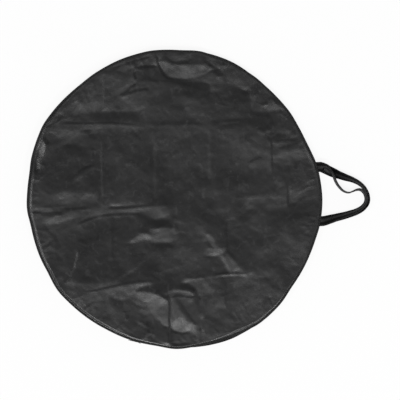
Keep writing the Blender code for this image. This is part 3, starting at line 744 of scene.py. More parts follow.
plainRoll = (0.0016, 0.0050)
frontFolds = {
    "seed": 11, "cells": 312, "sag": 0.0095, "edgeFade": (0.004, 0.014),
    "roll": 0.0022, "rollFall": (0.0048, 0.1600),
    # degrees from +X, share of the roll's height, where it starts and ends rising from the edge
    "rollShares": ((0, 0.45, *plainRoll), (14, 0.8, *plainRoll), (24, 0.9, *plainRoll),
                   (32, 0.5, *plainRoll), (42, 0.15, *plainRoll),
                   (60, 0.05, *plainRoll), (112, 0.10, *plainRoll),
                   (130, 0.3, *plainRoll), (146, 0.5, 0.0030, 0.0090),
                   (154, 0.45, 0.0055, 0.0130), (196, 0.38, 0.0055, 0.0130),
                   (205, 0.45, 0.0045, 0.0120), (214, 0.65, 0.0038, 0.0106),
                   (242, 0.65, 0.0038, 0.0106), (254, 0.4, 0.0030, 0.0080),
                   (268, 0.3, *plainRoll), (284, 0.25, *plainRoll),
                   (296, 0.75, 0.0040, 0.0110), (306, 0.75, 0.0030, 0.0090),
                   (319, 0.75, 0.0016, 0.0075), (327, 0.4, 0.0016, 0.0060),
                   (345, 0.3, *plainRoll)),
    # height, longest and shortest; count, height, width, shortest and longest
    "waves": ((0.22, 0.22, 0.05), (0.05, 0.05, 0.014)),
    "wrinkles": ((170, 0.17, 1.2, 8, 34), (160, 0.08, 0.7, 4, 12)),
    "puckers": ((190, 0.22, 1.0, 6, 20),),
    "ridges": (
        # height, width, then the line
        (0.45, 1.8, (111.3, 228), (111.5, 262)),
        (0.40, 1.6, (92, 148), (92, 161)),
        (0.30, 1.6, (124, 311), (127, 321)),
    ),
    "facets": (
        # slope, downhill direction, softness, then the outline
        # broad tilts of whole fields between the creases
        (-0.034, -90, 5.0, (52, 142), (100, 130), (100, 190), (45, 190), (42, 170)),
        (-0.020, -90, 4.0, (104, 130), (148, 130), (148, 200), (104, 203)),
        (-0.024, -90, 4.0, (82, 226), (108, 218), (140, 216), (126, 244), (150, 246), (150, 278),
         (80, 282), (76, 250)),
        (-0.010, -90, 5.0, (44, 228), (74, 226), (74, 270), (60, 280), (46, 250)),
        (0.012, -90, 6.0, (152, 128), (205, 128), (205, 165), (170, 168), (152, 150)),
        (0.012, -90, 6.0, (214, 128), (250, 126), (268, 148), (262, 170), (214, 165)),
        (-0.010, -90, 6.0, (176, 168), (206, 168), (206, 196), (176, 200)),
        (-0.022, -90, 6.0, (242, 170), (282, 172), (284, 190), (250, 192)),
        (0.010, -90, 5.0, (160, 250), (196, 250), (196, 268), (160, 270)),
        (0.030, -90, 7.0, (283, 224), (308, 222), (304, 250), (290, 272), (280, 246)),
        (0.036, -90, 7.0, (234, 298), (250, 292), (264, 298), (260, 314), (240, 320)),
        (0.022, -90, 6.0, (262, 280), (286, 274), (290, 284), (276, 298), (262, 296)),
        (0.016, -90, 5.0, (206, 312), (232, 312), (230, 328), (208, 334)),
        (-0.012, -90, 4.0, (217, 86), (240, 86), (240, 103), (222, 103)),
        (0.010, -90, 4.0, (214, 104), (247, 103), (249, 112), (246, 119), (214, 119)),
        (0.010, -90, 5.0, (152, 96), (206, 100), (206, 119), (152, 119)),
        (-0.010, -90, 2.0, (222, 211), (238, 211), (240, 222), (231, 224), (222, 218)),
        # upper left
        (0.046, -80, 4.0, (102, 76), (102, 108), (90, 111), (76, 114), (72, 114), (88, 92)),
        (0.036, -80, 4.0, (105, 75), (118, 74), (117, 106), (105, 106)),
        (-0.040, -130, 1.6, (61, 119), (74, 106), (86, 93), (97, 80), (103, 76), (92, 90),
         (80, 104), (68, 117)),
        (0.045, -90, 1.4, (118, 70), (127, 66), (134, 64), (133, 68), (122, 72)),
        (-0.045, -90, 2.2, (91, 112.5), (138, 112), (138, 121), (91, 121)),
        (-0.050, -90, 2.0, (108, 113), (121, 112), (121, 121), (108, 121)),
        (-0.030, -90, 1.8, (137, 68), (156, 67), (161, 73), (166, 79), (150, 80), (138, 82)),
        # bright patches under the upper rim, with the dark cloth below them
        (0.084, -70, 1.2, (160, 61), (168, 62), (174, 66), (174, 78), (169, 77), (162.5, 70)),
        (0.056, -85, 1.2, (174, 65), (190, 64), (203, 65), (213, 69.5), (205, 74), (198, 77),
         (184, 79), (174, 78)),
        (0.060, -80, 1.0, (178, 60), (181, 53), (190, 52), (190, 58), (186, 61)),
        (-0.080, -90, 1.4, (165, 80), (180, 81), (198, 82), (211, 84), (211, 91), (200, 90),
         (190, 87), (180, 85), (172, 83.5)),
        (-0.035, -90, 1.8, (212, 90), (223, 92), (222, 101), (214, 98)),
        (0.090, -150, 1.0, (210.5, 73), (215, 73), (213.5, 92), (209.5, 92)),
        (-0.060, -90, 0.9, (216, 69), (220, 69), (221, 76), (217, 76)),
        (0.062, -70, 1.0, (220, 66), (226, 65), (227, 73), (222, 73)),
        (0.060, -60, 1.3, (222, 68), (230, 74), (240, 82), (249, 90), (243, 90.5), (236, 86),
         (229, 80), (224, 74)),
        # right side
        (0.026, -80, 2.0, (252, 96), (262, 95), (259, 111), (253, 111)),
        (0.042, -90, 1.2, (262, 106), (270, 103), (281, 104), (284, 109.5), (272, 111), (264, 110)),
        (-0.050, -90, 3.0, (252, 112.5), (270, 112.5), (273, 122), (268, 130), (262, 132),
         (254, 124)),
        (-0.035, -90, 2.4, (267, 133), (284, 134), (281, 141), (270, 142)),
        (0.042, -60, 1.6, (283, 132), (292, 118), (297, 128), (297, 138), (286, 139)),
        (0.040, -60, 1.8, (287, 150), (303, 149), (306, 158), (294, 161)),
        (-0.050, -90, 1.4, (272, 163), (279, 163), (279, 169), (272, 169)),
        (-0.035, -90, 1.8, (282, 164), (297, 166), (296, 173), (284, 172)),
        (0.045, -60, 1.0, (291, 190), (295, 189), (296, 203), (292, 203)),
        # left side
        (0.190, -172, 1.1, (43.5, 140.5), (46, 145.5), (45, 153), (41.8, 161), (38.8, 168.5),
         (36, 170), (36.4, 160), (39.6, 149)),
        (0.044, -100, 1.8, (84, 126.5), (80, 133), (70, 141), (62, 147), (56, 152), (57, 146),
         (66, 137), (74, 129)),
        (0.022, -90, 2.5, (47, 129), (74, 127.5), (66, 137), (48, 140)),
        (-0.120, -100, 2.0, (66, 145), (76, 143), (84, 149), (83, 156), (70, 157)),
        (-0.050, -90, 1.4, (80, 130), (90, 129.5), (89, 133), (81, 133)),
        (0.030, -90, 2.2, (45, 203), (50, 194), (70, 192), (96, 193.5), (96, 202), (70, 203.5)),
        # below the second crease
        (0.058, -90, 1.6, (44, 222), (48, 217), (60, 215), (72, 211), (78, 213), (75, 219),
         (60, 223.5), (48, 225)),
        (0.035, -90, 2.0, (145, 206.5), (168, 206), (168, 219), (154, 219), (146, 214)),
        (0.082, -90, 1.0, (127, 243.5), (134, 238), (140, 233), (151, 234), (151, 240.5),
         (143, 240), (134, 243.5)),
        (0.066, -90, 1.4, (151, 229), (160, 227.5), (175, 228.5), (176, 239), (170, 243),
         (151, 243)),
        (-0.080, -90, 1.6, (78, 238), (88, 240), (88, 246), (79, 245)),
        (0.084, -95, 1.0, (208, 248.5), (222.5, 248.5), (222.5, 254), (216, 256.5), (206, 256),
         (210, 252)),
        (-0.055, -70, 1.8, (228.5, 224), (233, 232), (243, 243), (251, 262), (254, 277),
         (249, 273), (240, 261), (229, 248)),
        (0.055, -110, 1.0, (223.5, 256), (228, 257), (240.5, 272), (231.5, 272)),
        (-0.022, -90, 4.0, (230, 222), (284, 208), (284, 232), (262, 250), (238, 240)),
        (-0.070, -60, 1.5, (242, 215), (252, 208), (256, 212), (249, 220), (243, 223)),
        (-0.055, -90, 1.6, (269, 212), (276, 212), (277, 223), (270, 222)),
        (-0.045, -90, 1.8, (250, 240), (262, 239), (263, 246), (252, 246)),
        (-0.040, -90, 1.8, (268, 225), (280, 225), (282, 236), (270, 234)),
        # around and below the third crease
        (0.060, -90, 1.0, (104, 291), (110, 289), (120, 286.5), (135, 284), (151, 282.3),
         (151, 285), (137, 289), (133, 298), (122, 301), (112, 298)),
        (0.090, -100, 1.0, (135.5, 292.5), (140, 291.5), (150, 292.5), (158, 295), (164, 298),
         (168.3, 302), (168.3, 327), (164, 326), (158, 320), (150, 310), (146, 303), (138, 299)),
        (0.078, -90, 1.0, (171.2, 299), (175, 302), (181, 312), (187, 320), (171.2, 321)),
        (0.120, -90, 1.0, (171.2, 319), (180, 317.5), (189, 322), (198, 332), (202, 340),
         (196, 336), (190, 331), (182, 333.5), (174, 331), (171.2, 327)),
        (-0.050, -60, 1.6, (147, 307), (154, 317), (163, 328), (167.5, 334), (167.5, 345),
         (159, 339), (150, 326)),
        (0.030, -90, 2.0, (172, 333), (180, 334), (190, 336), (191, 343), (175, 345)),
        (-0.040, -90, 1.5, (152, 284), (166, 283), (180, 284), (180, 289), (166, 290), (152, 289)),
        (0.056, -70, 1.1, (183, 280.8), (190, 279.5), (205, 280.5), (205, 296), (200, 297),
         (195.5, 290), (191, 284)),
        (-0.100, -90, 1.1, (181, 284), (188, 283.5), (193, 288), (194, 293), (184, 290)),
        (0.046, -60, 1.4, (239, 276), (248, 276), (254, 285), (246, 287), (238, 281)),
        (0.020, -60, 1.4, (246, 273), (256, 273), (258, 282), (249, 280)),
        (0.034, -80, 2.0, (142, 306), (150, 307), (150, 313), (143, 313)),
        (0.055, -90, 1.0, (225, 333), (238, 331.5), (240, 335), (226, 338)),
    ),
    "strokes": (
        # slope, downhill side of the line, half width, then the line
        # upright creases that catch the lamp on the left
        (0.120, 180, 1.1, (103, 76), (103.4, 98), (102.5, 112)),
        (0.130, 180, 1.2, (101.6, 140), (100.8, 156), (101.6, 178), (102.4, 203)),
        (0.090, 180, 1.8, (209.5, 128), (209, 152), (209.5, 178)),
        (0.070, 180, 1.6, (154.5, 138), (155, 170), (154.5, 200)),
        # upright lines: steps that face away from it
        (0.28, 0, 1.0, (169.0, 296), (169.6, 306), (169.2, 320), (170, 334)),
        (0.15, 0, 1.0, (226.2, 220), (226.8, 252)),
        (0.12, 0, 0.9, (225.6, 281), (225.8, 307)),
        (0.16, 0, 0.9, (271.5, 139), (272.5, 173)),
        (0.18, 0, 1.0, (288, 186), (288, 206)),
        # first crease
        (-0.110, -90, 0.9, (62, 122.5), (84, 123.5), (110, 122.5), (136, 124.5)),
        (0.030, -90, 1.6, (66, 126), (110, 125.5), (136, 127.5), (205, 126.5)),
        (-0.055, -90, 0.9, (157, 124), (184, 123.2), (205, 123.2)),
        (-0.035, -90, 1.0, (210, 121.5), (240, 119.5), (262, 118)),
        (0.040, -90, 1.2, (222, 123.4), (240, 121.8)),
        (-0.100, -90, 1.2, (43, 127), (50, 126), (55, 122), (61, 118.5)),
        # second crease
        (0.060, -90, 0.9, (31, 209), (50, 208.8), (66, 207)),
        (0.060, -90, 0.9, (38, 211.6), (50, 211), (62, 210)),
        (-0.150, -90, 0.8, (30, 212.5), (41, 212.8)),
        (-0.110, -90, 0.8, (64, 209.2), (86, 208.2)),
        (0.035, -90, 1.8, (84, 211), (112, 211), (145, 210)),
        (-0.095, -90, 0.9, (108, 208.2), (130, 207.3), (152, 205)),
        (-0.090, -100, 1.0, (76, 225), (88, 219.5), (98, 216.5), (112, 214.6), (128, 214),
         (143, 214.5)),
        (0.026, -90, 2.4, (206, 211), (222, 211), (236, 207)),
        (0.050, -90, 1.4, (236, 199), (256, 198.2), (283, 197)),
        (-0.030, -90, 1.6, (240, 194), (258, 193.5), (280, 192)),
        # third crease
        (-0.080, -95, 0.6, (84, 291.4), (92, 290.8), (98, 290), (106, 287.8), (116, 285.6),
         (126, 283), (140, 281.3), (152, 280.3)),
        (0.045, -95, 1.0, (118, 287.2), (135, 284.6), (152, 282.6)),
        (0.100, -95, 1.0, (184, 280.6), (194, 279.6), (205, 278.8)),
        (0.070, -95, 1.0, (203, 278.6), (216, 276.8), (224, 275.8)),
        (0.135, -95, 1.2, (220, 276.0), (232, 275.2), (248, 275.4)),
        (-0.130, -90, 0.8, (216, 274), (228, 272.9), (235, 273)),
        # zigzag below the upper rim
        (-0.110, -90, 1.2, (158, 66.5), (150, 66.6), (141, 67), (136.5, 68.5)),
        (0.150, 0, 1.1, (137, 68), (133.4, 72.5), (136.2, 79.5), (132.5, 85)),
        (-0.130, -45, 1.2, (134, 84), (127, 91), (120.5, 96)),
        (0.055, -45, 1.5, (133, 80.5), (127, 85), (119, 92)),
        (-0.080, -90, 1.0, (121, 95.5), (128, 93.3), (136, 90.5), (150, 88.4)),
        (-0.070, -60, 1.2, (141, 71), (146, 76), (151, 80.5), (162, 80.5), (174, 81)),
        (0.200, 20, 1.0, (157, 56), (158, 64), (161.5, 71), (166, 78.5)),
        (-0.080, -90, 0.9, (164, 57), (172, 62), (180, 63.6), (188, 62.4), (192, 58)),
        (-0.090, -90, 1.3, (205, 61), (209, 64.5), (214, 67.5)),
        # streaks along the upper left rim
        (-0.060, -115, 0.9, (108, 69.5), (120, 66), (133, 61.5), (150, 57)),
        (0.030, -115, 1.0, (104, 69), (122, 62.5), (140, 57)),
        (-0.050, -130, 1.0, (50, 125), (58, 112), (70, 99), (84, 86), (97, 75)),
        # left
        (-0.200, -60, 1.0, (72.5, 179), (78, 172.5), (85, 167.5), (93, 165)),
        (0.030, -60, 1.1, (73, 183), (80, 177.5), (88, 171.5), (96, 166)),
        (0.045, -50, 1.0, (38, 181), (42, 177.8), (47, 173)),
        (0.020, -70, 1.8, (121, 166), (128, 163.5), (136, 168.5), (147, 177)),
        (0.030, -130, 1.5, (49, 247), (57, 252), (64, 259)),
        (0.190, -180, 1.6, (78, 250), (76.3, 260), (74, 268), (70, 277), (65, 283)),
        (0.020, -50, 1.0, (79, 242.5), (87, 247)),
        (-0.060, -90, 1.1, (44, 225), (48, 231), (54, 236)),
        # middle and right
        (0.060, -60, 1.6, (145.5, 254), (142, 262), (137, 268), (130, 272.5), (117, 279)),
        (0.100, -130, 2.2, (202, 239), (205, 235), (208.5, 236), (211.5, 240), (215, 249)),
        (0.170, -150, 1.3, (220.5, 255), (225, 262), (228, 268), (231.5, 274)),
        (0.080, -150, 1.6, (226, 253), (231, 260), (237, 267), (243, 273)),
        (0.018, -60, 1.3, (230, 232.5), (240, 238.5), (249, 244)),
        (0.022, -60, 1.2, (249, 225.5), (263, 233)),
        (-0.080, -60, 0.9, (249.5, 162.5), (256, 158.5), (262, 157)),
        (-0.080, -45, 1.2, (274, 95.5), (268, 100), (262.5, 105.5)),
        (-0.060, -80, 1.0, (281, 139.5), (297, 141)),
        (0.034, -70, 1.0, (279, 144.5), (291, 141.5)),
        (-0.060, -70, 1.0, (279, 148.8), (293, 144.5)),
        (0.066, -60, 1.0, (298, 193.5), (305, 190.3), (312.5, 185.5)),
        (-0.060, -60, 1.3, (299, 200), (308, 196)),
        # below the third crease
        (0.095, -85, 1.4, (164, 296.5), (167.5, 293.5), (172, 291.3), (179, 290.8), (187, 292),
         (193.5, 294)),
        (-0.110, -90, 0.8, (171, 298), (178, 295.2), (186, 296.8), (194, 297.4)),
        (0.125, -90, 1.2, (172.6, 300), (173.6, 312), (174.6, 322)),
        (0.100, 35, 0.8, (177.5, 299), (184, 309), (190, 317.5), (197, 326)),
        (0.052, -50, 1.3, (135, 321.5), (142, 324), (146.5, 328.5), (150.5, 333.5), (155, 338)),
        (-0.080, -100, 1.6, (206, 306), (204, 318), (201.5, 330), (200, 341)),
        (0.140, -100, 1.0, (197.2, 333), (197.5, 340), (197.8, 347)),
        (0.028, -60, 1.2, (108, 322), (121, 331)),
        (0.022, -60, 1.0, (112, 319), (126, 329)),
    ),
}


def makeFrontRelief():
    relief = Relief(frontFolds["seed"])
    for slope, direction, soft, *points in frontFolds["facets"]:
        relief.facet(slope, direction, soft, points)
    for slope, direction, width, *points in frontFolds["strokes"]:
        relief.stroke(slope, direction, width, points)
    relief.settle()
    relief.crease(frontFolds)
    return relief


frontRelief = makeFrontRelief()
seamLine = edgeRadius + upperTable - frontFolds["edgeFade"][1]
rimHeights = frontRelief.at(seamLine * np.cos(np.radians(degrees)),
                            seamLine * np.sin(np.radians(degrees)))
frontRelief.height -= rimHeights.mean()
# The rim rises and dips with the cloth, but not at the handles
liftTable = np.clip(softenWave(rimHeights - rimHeights.mean(), rimShape["liftSoften"]),
                    -rimShape["liftMost"], rimShape["liftMost"])
liftTable *= awayFrom(rimShape["handlesAt"], *rimShape["handlesStill"])
print("rim lift", liftTable.min(), liftTable.max())


def buildFrontCloth():
    mesh, points, inset = discMesh("frontCloth", frontFolds["cells"], upperTable)
    x, y = points[:, 0], points[:, 1]
    angle = np.arctan2(y, x)
    free = smoothStep(*frontFolds["edgeFade"], inset)
    rim = bag["height"] - rimClothHeight
    rollAngles, *rollShapes = zip(*frontFolds["rollShares"])
    share, start, end = (np.interp(np.degrees(angle) % 360, rollAngles, shape, period=360)
                         for shape in rollShapes)
    roll = frontFolds["roll"] * share * smoothStep(start, end, inset)
    roll *= 1 - smoothStep(*frontFolds["rollFall"], inset)
    sag = frontFolds["sag"] * (1 - (1 - inset / rimRadius) ** 2)
    points[:, 2] = (rim + roll - sag + frontRelief.at(x, y) * free
                    + tableAt(liftTable, angle) * (1 - free))
    writePoints(mesh, points)
    cloth = newPiece("frontCloth", mesh, panelCloth)
    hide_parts("front_panel_flap", "front_panel_fixed")
    return cloth


backFolds = {
    "seed": 23, "cells": 170, "edgeFade": (0.006, 0.030), "seamFade": (0.0045, 0.011),
    "waves": ((0.5, 0.25, 0.05),), "wrinkles": ((60, 0.6, 1.8, 10, 40),), "puckers": (),
    "ridges": (
        (1.1, 3.0, (46, 130), (107, 127), (160, 127), (225, 126), (290, 124)),
        (1.1, 3.0, (32, 213), (84, 211), (152, 209), (230, 210), (282, 200)),
        (1.3, 3.0, (66, 296), (118, 288), (183, 283), (245, 278), (262, 284)),
    ),
}


def buildBackCloth():
    relief = Relief(backFolds["seed"])
    relief.crease(backFolds)
    mesh, points, inset = discMesh("backCloth", backFolds["cells"], lowerTable)
    x, y = points[:, 0], points[:, 1]
    free = smoothStep(*backFolds["edgeFade"], inset)
    raised = relief.at(x, y) * free
    lying = bag["clothThickness"] / 2
    seam = rimClothHeight * (1 - smoothStep(*backFolds["seamFade"], inset))
    points[:, 2] = lying + seam + np.maximum(raised, 0.0)
    writePoints(mesh, points)
    bm = bmesh.new()
    bm.from_mesh(mesh)
    bmesh.ops.reverse_faces(bm, faces=bm.faces)
    bm.to_mesh(mesh)
    bm.free()
    mesh.shade_smooth()
    cloth = newPiece("backCloth", mesh, panelCloth)
    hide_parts("back_panel")
    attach(cloth, "root")


def blendAtFold(piece):
    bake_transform(piece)


blendAtFold(buildFrontCloth())
buildBackCloth()
print("panels made")

# Bindings
binding = {"steps": 720, "corner": 0.0011, "stitchInset": 0.0025, "stitchLength": 0.0031,
           "stitchPitch": 0.0042, "stitchLift": 0.0001, "threadRadius": 0.00024,
           "sharpFrom": 50.0, "flatShare": 0.6}
# A stitch: height and width at its ends and what its middle has more, and how far the ends dip
stitch = {"sides": 6, "cuts": 3, "height": (0.35, 0.65), "width": (0.55, 0.45), "dip": 0.9}


# Closed outline of the tape folded round the seam of the back panel
def bindingSection():
    outer, width = rimRadius, bag["bindingWidth"]
    thick, corner = bag["bindingThickness"], binding["corner"]

    def arc(size, height, turns):
        return [(outer - corner + size * math.sin(turn), height - size * math.cos(turn))
                for turn in map(math.radians, turns)]

    inside, high = corner - thick, seamHeight - corner
    bend = outer - width * binding["flatShare"]
    return [(outer - width, 0.0), (bend, 0.0),
            *arc(corner, corner, (0, 30, 60, 90)), *arc(corner, high, (90, 120, 150, 180)),
            (bend, seamHeight), (outer - width, seamHeight),
            (outer - width, seamHeight - thick),
            *arc(inside, high, (180, 90)), *arc(inside, corner, (90, 0)), (outer - width, thick)]


def stitchTemplate(length, radius):
    bm = bmesh.new()
    bmesh.ops.create_cone(bm, cap_ends=True, segments=stitch["sides"], radius1=radius,
                          radius2=radius, depth=length)
    bmesh.ops.rotate(bm, cent=(0, 0, 0), verts=bm.verts,
                     matrix=Matrix.Rotation(math.pi / 2, 3, "Y"))
    bmesh.ops.subdivide_edges(bm, edges=[edge for edge in bm.edges if not edge.is_boundary
                                         and abs((edge.verts[0].co - edge.verts[1].co).x) > radius],
                              cuts=stitch["cuts"])
    endHeight, moreHeight = stitch["height"]
    endWidth, moreWidth = stitch["width"]
    for vert in bm.verts:
        share = abs(vert.co.x) / (length / 2)
        swell = 1.0 - share ** 2
        vert.co.z = (vert.co.z * (endHeight + moreHeight * swell)
                     - radius * stitch["dip"] * share ** 2)
        vert.co.y *= endWidth + moreWidth * swell
    bmesh.ops.recalc_face_normals(bm, faces=bm.faces)
    uvLayer = bm.loops.layers.uv.new("UVMap")
    for face in bm.faces:
        for loop in face.loops:
            loop[uvLayer].uv = (loop.vert.co.x + loop.vert.co.y, loop.vert.co.y)
    return meshFrom(bm, "stitchTemplate")


# Row of lock stitches along a binding
def rimStitches(name, height, faceUp, radius):
    template = stitchTemplate(binding["stitchLength"], binding["threadRadius"])
    count = int(math.tau * radius / binding["stitchPitch"])
    middles = math.tau * np.arange(count) / count
    half = binding["stitchLength"] / radius / 2
    ends = []
    for angles in (middles - half, middles + half):
        ends.append(np.stack(rimPlace(radius * np.cos(angles), radius * np.sin(angles),
                                      np.full(count, height)), axis=1))
    up = Vector((0, 0, 1 if faceUp else -1))
    places = [stitchFrame(Vector(first), Vector(last), up) for first, last in zip(*ends)]
    return copiesAt(name, template, places)


def buildBinding(name, front):
    section = bindingSection()
    if front:
        section = flipHeight(section)
    bm = spinProfile(section, 0.0, 360.0, binding["steps"], closed=True)
    mesh = meshFrom(bm, name)
    followRim(mesh)
    mesh.set_sharp_from_angle(angle=math.radians(binding["sharpFrom"]))
    return newPiece(name, mesh, bindingCloth)


frontBinding = buildBinding("frontBinding", True)
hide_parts("front_binding_flap", "front_binding_fixed")
blendAtFold(frontBinding)
backBinding = buildBinding("backBinding", False)
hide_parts("back_binding")
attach(backBinding, "root")
stitchRadius = rimRadius - binding["stitchInset"]
for name, height, faceUp, moving in (
        ("frontSeamStitches", bag["height"] + binding["stitchLift"], True, True),
        ("frontSeamStitchesInside", bag["height"] - seamHeight - binding["stitchLift"],
         False, True),
        ("backSeamStitches", seamHeight + binding["stitchLift"], True, False)):
    stitches = newPiece(name, rimStitches(name, height, faceUp, stitchRadius), threadNylon)
    if moving:
        blendAtFold(stitches)
    else:
        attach(stitches, "root")
print("bindings made")

# Side cloth and zipper tapes
side = {"steps": 420, "cells": 16, "ripple": 0.0016, "bulge": 0.0012, "gap": 0.05,
        "tapeSteps": 560, "tapeCells": 8, "tapeRipple": 0.0003,
        # ripples round the bag, over its height, and their share
        "ripples": ((22, 60, 1.0), (70, 150, 0.5))}


# Gathers and hollows between the two seams
def rippleWall(mesh, ripple, bulge):
    points = readPoints(mesh)
    for index, (x, y, z) in enumerate(points):
        share = min(max(z / bag["height"], 0.0), 1.0)
        free = math.sin(math.pi * share) ** 2
        angle = math.atan2(y, x)
        wave = 0.0
        for around, over, strength in side["ripples"]:
            place = Vector((math.cos(angle) * around, math.sin(angle) * around, z * over))
            wave += strength * noise.noise(place)
        grow = 1 + (wave * ripple * free + bulge * free) / math.hypot(x, y)
        points[index, 0], points[index, 1] = x * grow, y * grow
    writePoints(mesh, points)


def sideways(centre):
    return Vector((centre.x, centre.y, 0.0))


# Seam allowances turned outward, with the wall between them
def wallProfile(bottom, top, cells, flangeLow, flangeHigh):
    middle = wallRadius - bag["clothThickness"] / 2
    profile = []
    if flangeLow:
        profile += [(edgeRadius, bottom), ((edgeRadius + middle) / 2, bottom)]
    profile += [(middle, bottom + (top - bottom) * i / cells) for i in range(cells + 1)]
    if flangeHigh:
        profile += [((edgeRadius + middle) / 2, top), (edgeRadius, top)]
    return profile


def buildWall(name, profile, start, end, steps, material, thickness, ripple, bulge):
    bm = spinProfile(profile, start, end, steps)
    faceOutward(bm, sideways)
    mesh = meshFrom(bm, name)
    rippleWall(mesh, ripple, bulge)
    followRim(mesh)
    piece = newPiece(name, mesh, material)
    thicken(piece, thickness)
    return piece


gusset = buildWall("sideCloth", wallProfile(flangeHeight, bag["height"] - flangeHeight,
                                            side["cells"], True, True),
                   bag["zipEnd"] + side["gap"], 360.0 - bag["zipEnd"] - side["gap"],
                   side["steps"], sideCloth, bag["clothThickness"], side["ripple"], side["bulge"])
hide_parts("gusset")
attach(gusset, "root")

tapeTop = middleHeight - bag["chainGap"] / 2


def buildTape(name, profile):
    return buildWall(name, profile, -bag["zipEnd"], bag["zipEnd"], side["tapeSteps"], zipTapeCloth,
                     bag["tapeThickness"], side["tapeRipple"], 0.0)


tapeBack = buildTape("zipTapeBack",
                     wallProfile(flangeHeight, tapeTop, side["tapeCells"], True, False))
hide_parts("zipper_tape_back")
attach(tapeBack, "root")
tapeFront = buildTape("zipTapeFront",
                      wallProfile(bag["height"] - tapeTop, bag["height"] - flangeHeight,
                                  side["tapeCells"], False, True))
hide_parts("zipper_tape_front", "zipper_tape_front_start", "zipper_tape_front_finish")
blendAtFold(tapeFront)
print("side made")

# Zipper coils
coil = {"pitch": 0.0015, "points": 8, "wire": 0.00034, "overlap": 0.0004}


# One continuous nylon monofilament, wound into flat turns and sewn to the tape's edge
def buildCoil(name, front):
    count = int(math.radians(2 * bag["zipEnd"]) * rimRadius / coil["pitch"])
    inner = wallRadius + bag["seamGap"] + coil["wire"]
    depth = bag["coilHeight"] / 2 - coil["wire"]
    centre = inner + depth
    far = bag["coilWidth"] + bag["chainGap"] / 2 - coil["wire"]
    near = -coil["overlap"] + coil["wire"]
    middle, half = (far + near) / 2, (far - near) / 2
    turns = np.arange(count * coil["points"] + 1) / coil["points"]
    phase = math.tau * turns + (math.pi if front else 0.0)
    limit = math.radians(bag["zipEnd"])
    angle = (turns + (0.5 if front else 0.0)) * coil["pitch"] / rimRadius - limit
    angle = np.minimum(angle, limit)
    across = middle + half * np.cos(phase)
    height = middleHeight + across if front else middleHeight - across
    radius = centre + depth * np.sin(phase)
    places = np.stack([*rimPlace(radius * np.cos(angle), radius * np.sin(angle), height),
                       np.ones(len(turns))], axis=1)
    curve = bpy.data.curves.new(name, "CURVE")
    curve.dimensions = "3D"
    spline = curve.splines.new("POLY")
    spline.points.add(len(places) - 1)
    spline.points.foreach_set("co", places.ravel())
    curve.bevel_depth = coil["wire"]
    curve.bevel_resolution = 0
    curve.use_fill_caps = True
    mesh = meshOfCurve(name, curve)
    mesh.shade_smooth()
    piece = newPiece(name, mesh, coilNylon)
    return piece


coilBack = buildCoil("zipCoilBack", False)
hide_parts("zipper_coil_back")
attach(coilBack, "root")
coilFront = buildCoil("zipCoilFront", True)
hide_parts("zipper_coil_front", "zipper_coil_front_start", "zipper_coil_front_finish")
blendAtFold(coilFront)
print("zipper made")

# Patches over the two ends of the chain
endTab = {"length": 0.017, "width": 0.014, "overlap": 0.004, "step": 0.0025, "hem": 0.0006,
          "hemFade": 0.0012, "cells": (26, 14), "stitchInset": 0.0016, "stitchSink": 0.0005,
          "stitchLift": 0.0005, "stitchSpan": (0.12, 0.88), "pitch": 0.0026, "thread": 0.0002,
          "stitchShare": 0.8}
coilOuter = wallRadius + bag["seamGap"] + bag["coilHeight"]
tabStart = math.radians(bag["zipEnd"]) - endTab["overlap"] / wallRadius


# A point on a patch: distance along it from the chain, height, and lift off the surface
def tabPoint(sign, run, height, lift):
    high = coilOuter + bag["seamGap"] + bag["clothThickness"] / 2
    low = wallRadius + bag["seamGap"] + bag["clothThickness"] / 2
    down = smoothStep(endTab["overlap"] + endTab["step"] / 2,
                      endTab["overlap"] + 2 * endTab["step"], run)
    angle = sign * (tabStart + run / wallRadius)
    radius = high + (low - high) * float(down) + lift
    return [float(c) for c in rimPlace(radius * math.cos(angle), radius * math.sin(angle),
                                       height)]


def buildEndTab(name, sign, node):
    bm = bmesh.new()
    cellsLong, cellsWide = endTab["cells"]
    bmesh.ops.create_grid(bm, x_segments=cellsLong, y_segments=cellsWide, size=0.5)
    uvLayer = bm.loops.layers.uv.new("UVMap")
    for face in bm.faces:
        for loop in face.loops:
            loop[uvLayer].uv = (loop.vert.co.x * endTab["length"],
                                loop.vert.co.y * endTab["width"])
    for vert in bm.verts:
        run = (vert.co.x + 0.5) * endTab["length"]
        across = vert.co.y * endTab["width"]
        margin = min(run, endTab["length"] - run, endTab["width"] / 2 - abs(across))
        puff = endTab["hem"] * float(smoothStep(0.0, endTab["hemFade"], margin))
        sink = endTab["stitchSink"]
        puff -= sink * math.exp(-((margin - endTab["stitchInset"]) / sink) ** 2)
        vert.co = tabPoint(sign, run, middleHeight + across, puff)
    bm.normal_update()
    faceOutward(bm, sideways)
    piece = newPiece(name, meshFrom(bm, name), sideCloth)
    thicken(piece, bag["clothThickness"])
    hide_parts(node)
    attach(piece, "root")
    inset = endTab["stitchInset"]
    wide, long = endTab["width"] - 2 * inset, endTab["length"] - 2 * inset
    corners = [(inset, -wide / 2), (inset + long, -wide / 2), (inset + long, wide / 2),
               (inset, wide / 2), (inset, -wide / 2)]
    places = []
    for (runA, acrossA), (runB, acrossB) in zip(corners, corners[1:]):
        count = max(2, round(math.dist((runA, acrossA), (runB, acrossB)) / endTab["pitch"]))
        for index in range(count):
            ends = []
            for share in ((index + part) / count for part in endTab["stitchSpan"]):
                run = runA + (runB - runA) * share
                across = acrossA + (acrossB - acrossA) * share
                ends.append(Vector(tabPoint(sign, run, middleHeight + across,
                                            endTab["stitchLift"])))
            out = sideways(ends[0] + ends[1]).normalized()
            places.append(stitchFrame(*ends, out))
    template = stitchTemplate(endTab["pitch"] * endTab["stitchShare"], endTab["thread"])
    stitchName = name + "Stitches"
    stitches = newPiece(stitchName, copiesAt(stitchName, template, places), threadNylon)
    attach(stitches, "root")


